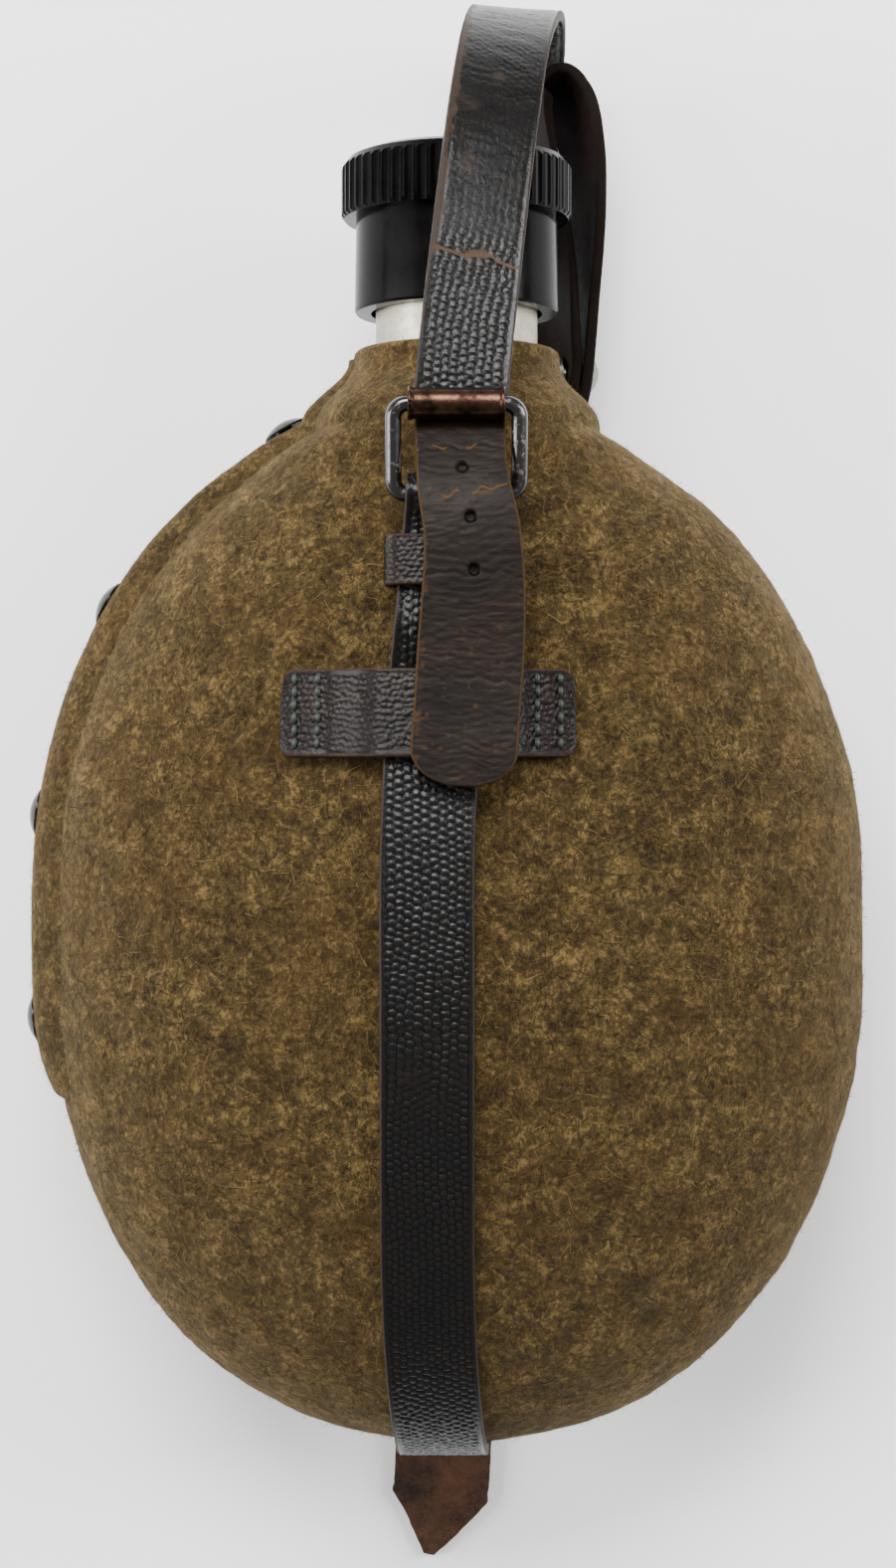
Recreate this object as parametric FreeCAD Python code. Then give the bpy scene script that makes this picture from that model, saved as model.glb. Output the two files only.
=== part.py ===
import FreeCAD, Part

import math
import os

# A one-litre field canteen lying on its back: a flattened aluminium bottle in a felt cover, a screw
# cap with a fluted rim, and a leather harness with a roller buckle.
# Frame: +Y runs along the bottle towards the neck, +Z is up through the front face, +X is to the
# right of someone who looks at the front. The origin is on the table, under the widest section,
# in the middle of the leather loop that the canteen lies on. All sizes are in millimetres.

V = FreeCAD.Vector

# Driving dimensions: the covered body.
HALF_WIDTH = 80.6
FRONT_DEPTH = 44.0
BACK_DEPTH = 37.2
BELOW = 101.5
ABOVE = 97.0
LOW_POWER = 2.22
HIGH_POWER = 2.25
AXIS_Z = 44.0
COVER_NECK_R = 20.5
COVER_TOP_Y = 113.5
FELT = 3.0
FELT_GAP = 0.3
NECK_SWELL_POWER = 2.5
NECK_BASE_Y = 111.5
NECK_FLARE = 8.0
NECK_FLARE_Y = 98.0
NECK_FLARE_REACH = 13.0

# The bottle.
WALL = 1.0
NECK_R = 16.0
NECK_BORE_R = 14.5
LIP_Y = 146.5
THREAD_PITCH = 3.0
THREAD_TURNS = 2.5
THREAD_HEIGHT = 0.7

# The cap.
CAP_BOTTOM_Y = 121.0
CAP_TOP_Y = 152.0
FLANGE_BOTTOM_Y = 139.5
FLANGE_R = 22.8
SKIRT_R = 20.1
CAP_BORE_R = 16.95
CAP_CEILING_Y = 149.2
FLUTES = 54
FLUTE_R = 1.25
BOSS_R = 11.0
BOSS_HEIGHT = 1.4
RIVET_R = 5.2
RIVET_SHANK_R = 1.8
SEAL = 2.2
SEAL_R = 15.6
RETAINER_R = 8.0
RETAINER = 0.8

# The leather.
STRAP = 17.4
STRAP_T = 2.2
TAIL_FLARE = 3.0
BACK_STRAP = 21.0
BACK_STRAP_T = 2.0
LOOP_T = 1.8
WORN_FLAT = 0.15
LOOP_SPAN = 54.0
LOOP_HEIGHT = 16.5
LAYER_GAP = 0.2
KEEPER = 9.6
KEEPER_Y = 69.0
FRONT_LOOP_Y = 41.0
FRONT_LOOP_X = -5.4
FRONT_STRAP_X = -5.5
BACK_STRAP_X = -3.0
BACK_RIVET_YS = (-28.0, -14.0)
HANGER = 18.0
HANGER_T = 2.4

# The buckle: a wire frame whose lower bar sits in the strap's fold, with a roller on its upper bar.
WIRE_R = 1.5
BUCKLE_X = -0.15
BAR_Y = 81.3
BAR_Z = 84.1
FRAME_SPAN = 23.2
FRAME_REACH = 16.6
FRAME_CORNER = 2.6
FRAME_TILT = 10.0
ROLLER_Y = BAR_Y + FRAME_REACH * math.cos(math.radians(FRAME_TILT))
ROLLER_Z = BAR_Z + FRAME_REACH * math.sin(math.radians(FRAME_TILT))
FOLD_SLOPE = 0.12
ROLLER_R = 3.0
ROLLER_BORE_R = 1.6
ROLLER_LENGTH = 17.8
PRONG_R = 0.9
PRONG_SLOT = 4.6

# The press studs on the cover's side flap.
STUD_CAP_R = 4.6
STUD_CAP_HEIGHT = 1.5
STUD_SHANK_R = 1.4
SOCKET_R = 4.2
SOCKET_BORE_R = 2.6
SOCKET_DEPTH = 1.2
POST_R = 1.4
POST_HEIGHT = 1.0
POST_BASE_R = 3.6
POST_BASE = 0.8
FLAP_GAP = 0.7
FLAP_FRONT_Z = 57.0
FLAP_BACK_Z = 27.0
STUD_YS = (95.0, 62.0, 22.0, -18.0)

parts = {}


# ---------------------------------------------------------------- the body's shape

def share(y, below, above):
    """The share of its full width and depth that the body keeps at height y."""
    if y < 0:
        return max(0.0, 1.0 - (min(-y / below, 1.0)) ** LOW_POWER) ** (1.0 / LOW_POWER)
    return max(0.0, 1.0 - (min(y / above, 1.0)) ** HIGH_POWER) ** (1.0 / HIGH_POWER)


def shoulder(size, neck, y):
    """A body size that swells smoothly into the neck's radius as y nears the shoulder. The neck
    flares where it meets the body."""
    fade = min(1.0, max(0.0, (y - 40.0) / 50.0))
    off = min(1.0, abs(y - NECK_FLARE_Y) / NECK_FLARE_REACH)
    flare = NECK_FLARE * (1.0 + math.cos(math.pi * off)) / 2.0
    neck_part = (neck + flare) * fade * fade * (3.0 - 2.0 * fade)
    return (size ** NECK_SWELL_POWER + neck_part ** NECK_SWELL_POWER) ** (1.0 / NECK_SWELL_POWER)


def half_sizes(y, inset=0.0, neck=COVER_NECK_R):
    """Half width, front depth and back depth at height y of the body, drawn in by inset."""
    s = share(y, BELOW - inset, ABOVE - inset)
    sizes = (HALF_WIDTH - inset, FRONT_DEPTH - inset, BACK_DEPTH - inset)
    return [shoulder(size * s, neck, y) for size in sizes]


def section(y, sizes):
    """A closed wire in the plane y: a front and a back half ellipse that share their width."""
    width, front, back = sizes
    c = V(0, y, AXIS_Z)
    halves = []
    for sign, depth in ((1, front), (-1, back)):
        if width - depth > 0.01:
            curve = Part.Ellipse(c + V(sign * width, 0, 0), c + V(0, 0, sign * depth), c)
        else:
            curve = Part.Circle(c, V(0, -1, 0), width)
            curve.XAxis = V(sign, 0, 0)
        halves.append(curve.toShape(0, math.pi))
    return Part.Wire(halves)


def body_solid(inset, neck, top_y):
    """The solid body with its neck: the covered shape drawn in by inset, up to top_y."""
    angles = (83, 76, 67, 55, 40, 24, 10)
    low = BELOW - inset
    ys = [-low * math.sin(math.radians(a)) ** (2.0 / LOW_POWER) for a in angles]
    ys += [8.0, 24.0, 40.0, 54.0, 66.0, 76.0, 84.0, 90.5, 95.5, 100.0, 104.0, 108.0, NECK_BASE_Y]
    body = Part.makeLoft([section(y, half_sizes(y, inset, neck)) for y in ys], True, False)
    top = Part.Face(section(NECK_BASE_Y, (neck, neck, neck)))
    return body.fuse(top.extrude(V(0, top_y - NECK_BASE_Y, 0))).removeSplitter()


def front_z(x, y, inset=0.0):
    width, front, _ = half_sizes(y, inset)
    return AXIS_Z + front * math.sqrt(max(0.0, 1.0 - (x / width) ** 2))


def back_z(x, y, inset=0.0):
    width, _, back = half_sizes(y, inset)
    return AXIS_Z - back * math.sqrt(max(0.0, 1.0 - (x / width) ** 2))


def rod(centre, direction, radius, length):
    """A cylinder centred on a point."""
    d = V(*direction).normalize()
    return Part.makeCylinder(radius, length, V(*centre) - d * (length / 2.0), d)


def ring(outer, inner, y0, y1, x=0.0, z=AXIS_Z):
    """A washer or tube about an axis along Y."""
    tube = Part.makeCylinder(outer, y1 - y0, V(x, y0, z), V(0, 1, 0))
    return tube.cut(Part.makeCylinder(inner, y1 - y0 + 2, V(x, y0 - 1, z), V(0, 1, 0)))


def turned(points):
    """A solid turned about the neck's axis from (radius, y) points."""
    corners = [V(r, y, AXIS_Z) for r, y in points]
    face = Part.Face(Part.makePolygon(corners + corners[:1]))
    return face.revolve(V(0, 0, AXIS_Z), V(0, 1, 0), 360)


# ---------------------------------------------------------------- leather bands

def smooth(points, count):
    """Evenly spaced points on a smooth curve through the given ones."""
    curve = Part.BSplineCurve()
    curve.interpolate([V(*p) for p in points])
    return curve.toShape().discretize(Number=count)


def band(points, side, width, thick):
    """A leather band along points. side(k) is its width's direction and width(k) its width at
    point k, where k runs from 0 to 1."""
    wires = []
    last = len(points) - 1
    for i, p in enumerate(points):
        k = i / last
        along = (points[min(i + 1, last)] - points[max(i - 1, 0)]).normalize()
        across = side(k)
        across = (across - along * across.dot(along)).normalize()
        up = across.cross(along).normalize()
        a = across * (width(k) / 2.0)
        b = up * (thick / 2.0)
        corners = [p + a + b, p - a + b, p - a - b, p + a - b]
        wires.append(Part.makePolygon(corners + corners[:1]))
    return Part.makeLoft(wires, True, True)


def flat_side(k):
    return V(1, 0, 0)


def even(width):
    return lambda k: width


def round_end(width, length, total, power=2.0):
    """A band's width that closes to a rounded end over the last length of total."""
    def at(k):
        into = max(0.0, (k - 1.0) * total + length) / length
        return width * max(0.12, (1.0 - into ** power)) ** 0.5
    return at


def length_of(points):
    return sum((b - a).Length for a, b in zip(points, points[1:]))


# ---------------------------------------------------------------- bottle and cap

def make_thread():
    """The neck's outside thread: a pointed ridge along a helix, sunk a little into the neck."""
    turns = THREAD_PITCH * THREAD_TURNS
    helix = Part.makeHelix(THREAD_PITCH, turns, NECK_R - 0.15)
    start_y = LIP_Y - 4.5 - turns
    helix.Placement = FreeCAD.Placement(V(0, start_y, AXIS_Z), FreeCAD.Rotation(V(1, 0, 0), -90))
    start = helix.Edges[0].valueAt(helix.Edges[0].FirstParameter)
    out = (start - V(0, start.y, AXIS_Z)).normalize()
    rise = V(0, 0.9, 0)
    corners = [start - rise, start + out * (THREAD_HEIGHT + 0.1), start + rise]
    sweep = Part.BRepOffsetAPI.MakePipeShell(Part.Wire(helix.Edges))
    sweep.setFrenetMode(True)
    sweep.add(Part.makePolygon(corners + corners[:1]))
    sweep.build()
    sweep.makeSolid()
    return sweep.shape()


def make_bottle():
    outer_inset = FELT + FELT_GAP
    shell = body_solid(outer_inset, NECK_R, LIP_Y).cut(
        body_solid(outer_inset + WALL, NECK_BORE_R, LIP_Y + 2.0))
    lip = ring(NECK_R + 0.5, NECK_BORE_R + 0.2, LIP_Y - 2.4, LIP_Y)
    parts["bottle"] = shell.fuse(lip).fuse(make_thread())


def make_cap():
    profile = [
        (CAP_BORE_R, CAP_BOTTOM_Y), (SKIRT_R - 0.3, CAP_BOTTOM_Y), (SKIRT_R + 0.1, CAP_BOTTOM_Y + 0.5),
        (SKIRT_R - 0.2, FLANGE_BOTTOM_Y), (FLANGE_R - 0.7, FLANGE_BOTTOM_Y),
        (FLANGE_R, FLANGE_BOTTOM_Y + 0.8), (FLANGE_R, CAP_TOP_Y - 2.6), (FLANGE_R - 1.2, CAP_TOP_Y - 0.9),
        (FLANGE_R - 3.4, CAP_TOP_Y), (BOSS_R, CAP_TOP_Y), (BOSS_R - 0.6, CAP_TOP_Y + BOSS_HEIGHT),
        (RIVET_SHANK_R, CAP_TOP_Y + BOSS_HEIGHT), (RIVET_SHANK_R, CAP_CEILING_Y),
        (CAP_BORE_R, CAP_CEILING_Y),
    ]
    cap = turned(profile)
    flutes = []
    for i in range(FLUTES):
        a = 2.0 * math.pi * i / FLUTES
        out = FLANGE_R + 0.55
        at = V(out * math.cos(a), FLANGE_BOTTOM_Y - 1.0, AXIS_Z + out * math.sin(a))
        flutes.append(Part.makeCylinder(FLUTE_R, CAP_TOP_Y - FLANGE_BOTTOM_Y - 1.0, at, V(0, 1, 0)))
    parts["cap_shell"] = cap.cut(Part.makeCompound(flutes))

    # The rivet that holds the sealing washer's retainer up inside the cap.
    head_y = CAP_TOP_Y + BOSS_HEIGHT
    seal_top = CAP_CEILING_Y - 0.25
    plate_top = seal_top - SEAL - 0.25
    dome = Part.makeSphere(8.0, V(0, head_y + 1.9 - 8.0, AXIS_Z))
    head = dome.common(Part.makeCylinder(RIVET_R, 4.0, V(0, head_y, AXIS_Z), V(0, 1, 0)))
    shank = Part.makeCylinder(RIVET_SHANK_R, head_y - plate_top + RETAINER + 0.8,
                              V(0, plate_top - RETAINER - 0.8, AXIS_Z), V(0, 1, 0))
    peen = Part.makeCylinder(3.0, 0.8, V(0, plate_top - RETAINER - 0.8, AXIS_Z), V(0, 1, 0))
    parts["cap_rivet"] = head.fuse(shank).fuse(peen).removeSplitter()
    parts["seal_retainer"] = ring(RETAINER_R, RIVET_SHANK_R, plate_top - RETAINER, plate_top)
    parts["cap_seal"] = ring(SEAL_R, RIVET_SHANK_R + 0.1, seal_top - SEAL, seal_top)


# ---------------------------------------------------------------- cover, flap and press studs

def flap_normal(y):
    """The point on the cover's left side at height y, and the outward direction there."""
    width = half_sizes(y)[0]
    ahead, behind = half_sizes(y + 0.5)[0], half_sizes(y - 0.5)[0]
    along = V(behind - ahead, 1.0, 0)
    out = V(-along.y, along.x, 0).normalize()
    return V(-width, y, AXIS_Z), out


def make_cover():
    outer = body_solid(0.0, COVER_NECK_R, COVER_TOP_Y)
    inner = body_solid(FELT, NECK_R + FELT_GAP, COVER_TOP_Y + 2.0)
    cover = outer.cut(inner)
    posts = []
    for y in STUD_YS:
        p, out = flap_normal(y)
        base = Part.makeCylinder(POST_BASE_R, POST_BASE, p - out * POST_BASE, out)
        cover = cover.cut(Part.makeCylinder(POST_BASE_R, POST_BASE + 2.0, p - out * POST_BASE, out))
        cover = cover.cut(Part.makeCylinder(SOCKET_R + 0.4, 4.0, p + out * (FLAP_GAP - 0.35), out))
        post = Part.makeCone(POST_R, POST_R - 0.3, POST_HEIGHT, p, out)
        posts.append(base.fuse(post).removeSplitter())
    parts["felt_cover"] = cover
    parts["press_stud_posts"] = Part.makeCompound(posts)


def make_flap():
    """The flap that closes the cover down its left side, with its press studs."""
    skin = body_solid(-FLAP_GAP - FELT, COVER_NECK_R + FLAP_GAP + FELT, COVER_TOP_Y)
    skin = skin.cut(body_solid(-FLAP_GAP, COVER_NECK_R + FLAP_GAP, COVER_TOP_Y + 2.0))
    corners = [V(-100, -27, 0), V(-60, -46, 0), V(-30, 60, 0), V(-19, 112, 0), V(-60, 112, 0),
               V(-100, 60, 0)]
    area = Part.Face(Part.makePolygon(corners + corners[:1]))
    area.translate(V(0, 0, FLAP_BACK_Z))
    flap = skin.common(area.extrude(V(0, 0, FLAP_FRONT_Z - FLAP_BACK_Z)))
    caps, sockets = [], []
    for y in STUD_YS:
        p, out = flap_normal(y)
        under = p + out * FLAP_GAP
        top = p + out * (FLAP_GAP + FELT)
        ball = 7.5
        dome = Part.makeSphere(ball, top + out * (STUD_CAP_HEIGHT - ball))
        dome = dome.common(Part.makeCylinder(STUD_CAP_R, 4.0, top - out * 0.4, out))
        shank = Part.makeCylinder(STUD_SHANK_R, FELT - SOCKET_DEPTH, under + out * SOCKET_DEPTH, out)
        caps.append(dome.fuse(shank).removeSplitter())
        cup = Part.makeCylinder(SOCKET_R, SOCKET_DEPTH, under, out)
        cup = cup.cut(Part.makeCylinder(SOCKET_BORE_R, SOCKET_DEPTH - 0.3, under, out))
        sockets.append(cup)
        flap = flap.cut(Part.makeCylinder(SOCKET_R, SOCKET_DEPTH + 1.0, under - out, out))
        flap = flap.cut(Part.makeCylinder(STUD_SHANK_R, FELT + 4.0, under, out))
        flap = flap.cut(Part.makeCylinder(STUD_CAP_R, 4.0, top - out * 0.4, out))
    parts["cover_flap"] = flap
    parts["press_stud_caps"] = Part.makeCompound(caps)
    parts["press_stud_sockets"] = Part.makeCompound(sockets)


# ---------------------------------------------------------------- harness


def under_bottom(x, angle, lift):
    """A point round the bottle's bottom, from 0 degrees at the front to 180 at the back."""
    a = math.radians(angle)
    depth = FRONT_DEPTH if angle <= 90 else BACK_DEPTH
    c, s = math.cos(a), math.sin(a)
    reach = abs(s) ** (2.0 / LOW_POWER)
    rise = math.copysign(abs(c) ** (2.0 / LOW_POWER), c)
    out = V(0, -abs(s) ** (2.0 - 2.0 / LOW_POWER) / BELOW,
            math.copysign(abs(c) ** (2.0 - 2.0 / LOW_POWER), c) / depth).normalize()
    return V(x, -BELOW * reach, AXIS_Z + depth * rise) + out * lift


def lower_layer_z(y):
    """The middle height of the fixed strap's lower layer, which slopes down to the buckle."""
    return BAR_Z - WIRE_R - LAYER_GAP - STRAP_T / 2.0 + (BAR_Y - y) * FOLD_SLOPE


def main_strap_route():
    """The strap's middle line: its sewn-down end, round the buckle's bar, down the front over
    that end, round the bottom, along the back past the cap, up and over it, and down to the
    buckle's roller."""
    lift = LAYER_GAP + STRAP_T / 2.0
    turn = WIRE_R + 0.3 + STRAP_T / 2.0
    stack = STRAP_T + LAYER_GAP
    route = []
    for x, y in ((-2.9, 56.0), (-2.4, 63.0), (-1.4, 73.0)):
        route.append(V(x, y, lower_layer_z(y)))
    for a in range(-90, 91, 20):
        r = math.radians(a)
        route.append(V(-0.8, BAR_Y + turn * math.cos(r), BAR_Z + turn * math.sin(r)))
    for x, y, more in ((-1.1, 76.5, 1.1), (-1.6, 71.5, 0.2), (-2.4, 62.0, 0.1), (-2.9, 57.0, 0.0),
                       (-3.3, 53.0, -1.0), (-3.8, 48.5, -2.1)):
        route.append(V(x, y, lower_layer_z(y) + stack + more))
    for x, y in ((-4.4, 41.0), (-5.0, 28.0), (FRONT_STRAP_X, 14.0)):
        route.append(V(x, y, front_z(0.0, y) + lift))
    for a in range(5, 176, 5):
        x = FRONT_STRAP_X + (BACK_STRAP_X - FRONT_STRAP_X) * a / 180.0
        route.append(under_bottom(x, a, lift + 0.15))
    back = AXIS_Z - BACK_DEPTH - lift
    under = ROLLER_Z - ROLLER_R - LAYER_GAP - STRAP_T / 2.0
    route += smooth([(-3.0, 6, back), (-3.0, 30, back), (-2.6, 60, back + 0.2), (-1.2, 85, 4.6), (1.4, 110, 2.3),
                     (5.0, 130, 1.6), (9.6, 152, 1.9), (12.6, 168, 2.75), (13.9, 178.8, 7.0),
                     (14.0, 184.0, 16.6), (13.3, 185.2, 30.0), (11.5, 182.0, 45.0), (9.2, 171.6, 60.2),
                     (6.6, 152.5, 72.4), (3.9, 130.0, 78.8), (2.0, 113.0, 81.5), (0.9, ROLLER_Y + 4.4, under),
                     (0.5, ROLLER_Y + 0.6, under)], 56)
    return route


def strap_lean(k):
    """The strap's width turns a little as it comes down over the cap, left edge up."""
    lean = math.sin(math.pi * min(1.0, max(0.0, (k - 0.72) / 0.28))) * math.radians(13.0)
    return V(math.cos(lean), 0, -math.sin(lean))


def make_main_strap():
    strap = band(main_strap_route(), strap_lean, even(STRAP), STRAP_T)
    slot = Part.makeBox(PRONG_SLOT, 10.5, 14.0, V(BUCKLE_X - PRONG_SLOT / 2.0, BAR_Y - 3.5, BAR_Z - 7.0))
    parts["main_strap"] = strap.cut(slot)
    # The thread that holds the fold, in two rows along the strap.
    thread = []
    for x in (-8.4, 3.2):
        for y in (56.8, 59.8, 62.8):
            top = lower_layer_z(y) + STRAP_T * 1.5 + LAYER_GAP + 0.25
            thread.append(rod((x, y, top), (0, 1, -FOLD_SLOPE), 0.35, 2.2))
    parts["strap_fold_stitches"] = Part.makeCompound(thread)
    parts["main_strap"] = parts["main_strap"].cut(parts["strap_fold_stitches"])


def make_tail():
    """The strap's free end: out from under the roller, over the bar and down the front."""
    away = ROLLER_R + LAYER_GAP + STRAP_T / 2.0 + 0.1
    start = []
    for a in (100, 112):
        r = math.radians(a)
        start.append((0.5, ROLLER_Y + away * math.cos(r), ROLLER_Z - away * math.sin(r)))
    route = smooth(start + [(0.7, 88.6, 86.5), (1.3, 81.6, 89.5), (2.6, 74.5, 90.7), (3.0, 66.0, 90.9),
                            (2.6, 53.0, 91.1), (2.3, 41.0, 91.8), (2.0, 34.0, 92.5), (1.8, 27.5, 92.9)], 32)
    total = length_of(route)

    def width(k):
        flare = TAIL_FLARE * math.sin(min(1.0, k / 0.8) * math.pi / 2.0) ** 2
        return (STRAP - 0.8 + flare) / STRAP * round_end(STRAP, 8.0, total)(k)

    tail = band(route, flat_side, width, STRAP_T)
    for x, y in ((0.9, 85.6), (2.4, 76.3), (3.0, 67.0)):
        tail = tail.cut(rod((x, y, 89.0), (0, 0.1, 1), 1.1, 12.0))
    parts["strap_tail"] = tail


def loop_slope(x, y, direction):
    """How fast the cover's surface rises with y where a loop is sewn."""
    surface = front_z if direction > 0 else back_z
    reach = LOOP_HEIGHT / 2.0
    return (surface(x, y + reach) - surface(x, y - reach)) / LOOP_HEIGHT


def loop_band(y, centre_x, over, direction, held):
    """A leather loop sewn flat to the cover, humped over a strap held wide. direction is 1 at the
    front and -1 at the back. over is the height of the hump's middle layer."""
    half = LOOP_SPAN / 2.0
    hump = held / 2.0 + 2.2
    surface = front_z if direction > 0 else back_z
    stations = []
    for dx in (-half, -half * 0.72, -hump - 3.6, -hump + 0.4, hump - 0.4, hump + 3.6, half * 0.72, half):
        x = centre_x + dx
        z = over if abs(dx) < hump else surface(x, y) + direction * (0.4 + LOOP_T / 2.0)
        stations.append(V(x, y, z))

    def side(k):
        x = centre_x + (2.0 * k - 1.0) * half
        return V(0, 1, loop_slope(x, y, direction))

    return band(stations, side, even(LOOP_HEIGHT), LOOP_T)


def loop_stitches(y, centre_x, direction):
    """Two rows of stitches across each end of a sewn loop."""
    surface = front_z if direction > 0 else back_z
    thread = []
    for dx in (-24.0, -19.8, 19.8, 24.0):
        x = centre_x + dx
        slope = loop_slope(x, y, direction)
        for i in range(5):
            along = -6.2 + 3.1 * i
            z = surface(x, y) + slope * along + direction * (0.4 + LOOP_T + 0.1)
            thread.append(rod((x, y + along, z), (0, 1, slope), 0.4, 2.3))
    return Part.makeCompound(thread)


def make_loops():
    """The two leather loops that hold the straps against the cover, with their thread."""
    front_over = front_z(0, FRONT_LOOP_Y) + 2 * LAYER_GAP + STRAP_T + LOOP_T / 2.0 + 0.5
    loops = (("front_loop", FRONT_LOOP_Y, FRONT_LOOP_X, front_over, 1, STRAP),
             ("back_loop", 0.0, BACK_STRAP_X, LOOP_T / 2.0 - WORN_FLAT, -1, BACK_STRAP))
    for node, y, x, over, direction, held in loops:
        thread = loop_stitches(y, x, direction)
        parts[node] = loop_band(y, x, over, direction, held).cut(thread)
        parts[node + "_stitches"] = thread
    # The canteen lies on its back loop, which is worn flat there.
    below = Part.makeBox(2 * LOOP_SPAN, 2 * LOOP_SPAN, 10.0, V(-LOOP_SPAN, -LOOP_SPAN, -10.0))
    parts["back_loop"] = parts["back_loop"].cut(below)


def make_keeper():
    """The keeper: a flat leather ring round both layers of the fixed strap."""
    wide, high = STRAP + 2.4, 5.8
    centre = V(-1.7, KEEPER_Y, lower_layer_z(KEEPER_Y) + STRAP_T / 2.0 + 0.25)
    outer = Part.makeBox(wide + 2 * LOOP_T, KEEPER, high + 2 * LOOP_T,
                         V(-wide / 2 - LOOP_T, -KEEPER / 2, -high / 2 - LOOP_T))
    outer = outer.makeFillet(1.6, [e for e in outer.Edges if abs(e.tangentAt(e.FirstParameter).y) > 0.9])
    outer = outer.cut(Part.makeBox(wide, KEEPER + 2, high, V(-wide / 2, -KEEPER / 2 - 1, -high / 2)))
    slope = -math.degrees(math.atan(FOLD_SLOPE))
    outer.Placement = FreeCAD.Placement(centre, FreeCAD.Rotation(V(1, 0, 0), slope))
    parts["keeper_loop"] = outer


def lean_side(k):
    """The direction across the hanger strap, which stands on its edge and leans to the left
    halfway round the loop."""
    lean = math.radians(4.0 + 27.0 * math.sin(math.pi * k) ** 1.6)
    return V(math.sin(lean), 0, math.cos(lean))


def make_back_strap():
    """The hanging strap along the back: pointed beyond the bottle's foot, and turning on to its
    edge beside the neck, where its far end becomes the hanger loop."""
    z0 = LOOP_T + 0.3 + BACK_STRAP_T / 2.0
    tip = smooth([(-5.8, -136.0, 1.05), (-4.6, -130.5, 1.25), (-3.6, -125.0, 1.5), (-2.9, -119.2, 1.85)], 9)

    def point(k):
        return BACK_STRAP * (0.16 + 0.84 * min(1.0, k / 0.7))

    parts["back_strap_tip"] = band(tip, flat_side, point, BACK_STRAP_T)
    route = smooth([(-2.9, -118.2, 1.85), (-2.6, -90, 2.6), (-3.0, -50, z0), (-3.0, -20, z0), (-3.0, 12, z0),
                    (-1.5, 28, z0), (4.0, 46, z0), (11.5, 60, z0), (17.5, 72.0, 3.4), (19.8, 78.0, 5.8),
                    (21.8, 84.0, 8.9), (23.4, 90.0, 10.2), (24.2, 95.0, 10.4), (24.8, 103.4, 10.4)], 60)

    def twist(k):
        t = min(1.0, max(0.0, (k - 0.84) / 0.13))
        a = t * t * (3 - 2 * t) * math.radians(86.0)
        return V(math.cos(a), 0, math.sin(a))

    def narrow(k):
        return BACK_STRAP - (BACK_STRAP - HANGER) * max(0.0, (k - 0.6) / 0.4)

    strap = band(route, twist, narrow, BACK_STRAP_T)
    rivets = []
    for y in BACK_RIVET_YS:
        shank = Part.makeCylinder(1.5, 4.4, V(-3.0, y, z0 - BACK_STRAP_T / 2.0))
        head = Part.makeCylinder(3.2, 0.6, V(-3.0, y, z0 - BACK_STRAP_T / 2.0 - 0.6))
        rivets.append(shank.fuse(head).removeSplitter())
    parts["back_strap_rivets"] = Part.makeCompound(rivets)
    parts["back_strap"] = strap.cut(parts["back_strap_rivets"])
    parts["main_strap"] = parts["main_strap"].cut(parts["back_strap_rivets"])


def make_hanger():
    """The loop that the canteen hangs by: the strap's end, turned back and riveted to itself."""
    route = smooth([(25.0, 104.0, 10.4), (26.2, 111.0, 10.8), (26.8, 128.0, 13.2), (27.0, 148.0, 15.3),
                    (26.2, 160.0, 15.6), (24.0, 169.4, 15.6), (20.4, 173.6, 15.6), (16.6, 173.4, 15.6),
                    (13.6, 168.8, 15.6), (12.4, 158.0, 15.5), (13.6, 143.0, 15.0), (17.4, 130.0, 14.2),
                    (21.4, 121.0, 12.6), (23.1, 114.5, 11.2), (23.2, 109.5, 10.9)], 48)
    loop = band(route, lean_side, even(HANGER), HANGER_T)
    axis = V(0.996, 0, -0.087)
    top = V(27.6, 113.6, 13.4)
    dome = Part.makeSphere(5.2, top - axis * 3.1).common(Part.makeCylinder(3.9, 4.0, top, axis))
    shank = Part.makeCylinder(1.5, 6.4, top - axis * 6.4, axis)
    burr = Part.makeCylinder(3.4, 0.7, top - axis * 6.4, axis)
    parts["hanger_rivet"] = dome.fuse(shank).fuse(burr).removeSplitter()
    parts["hanger_loop"] = loop.cut(parts["hanger_rivet"])


# ---------------------------------------------------------------- buckle

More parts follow.
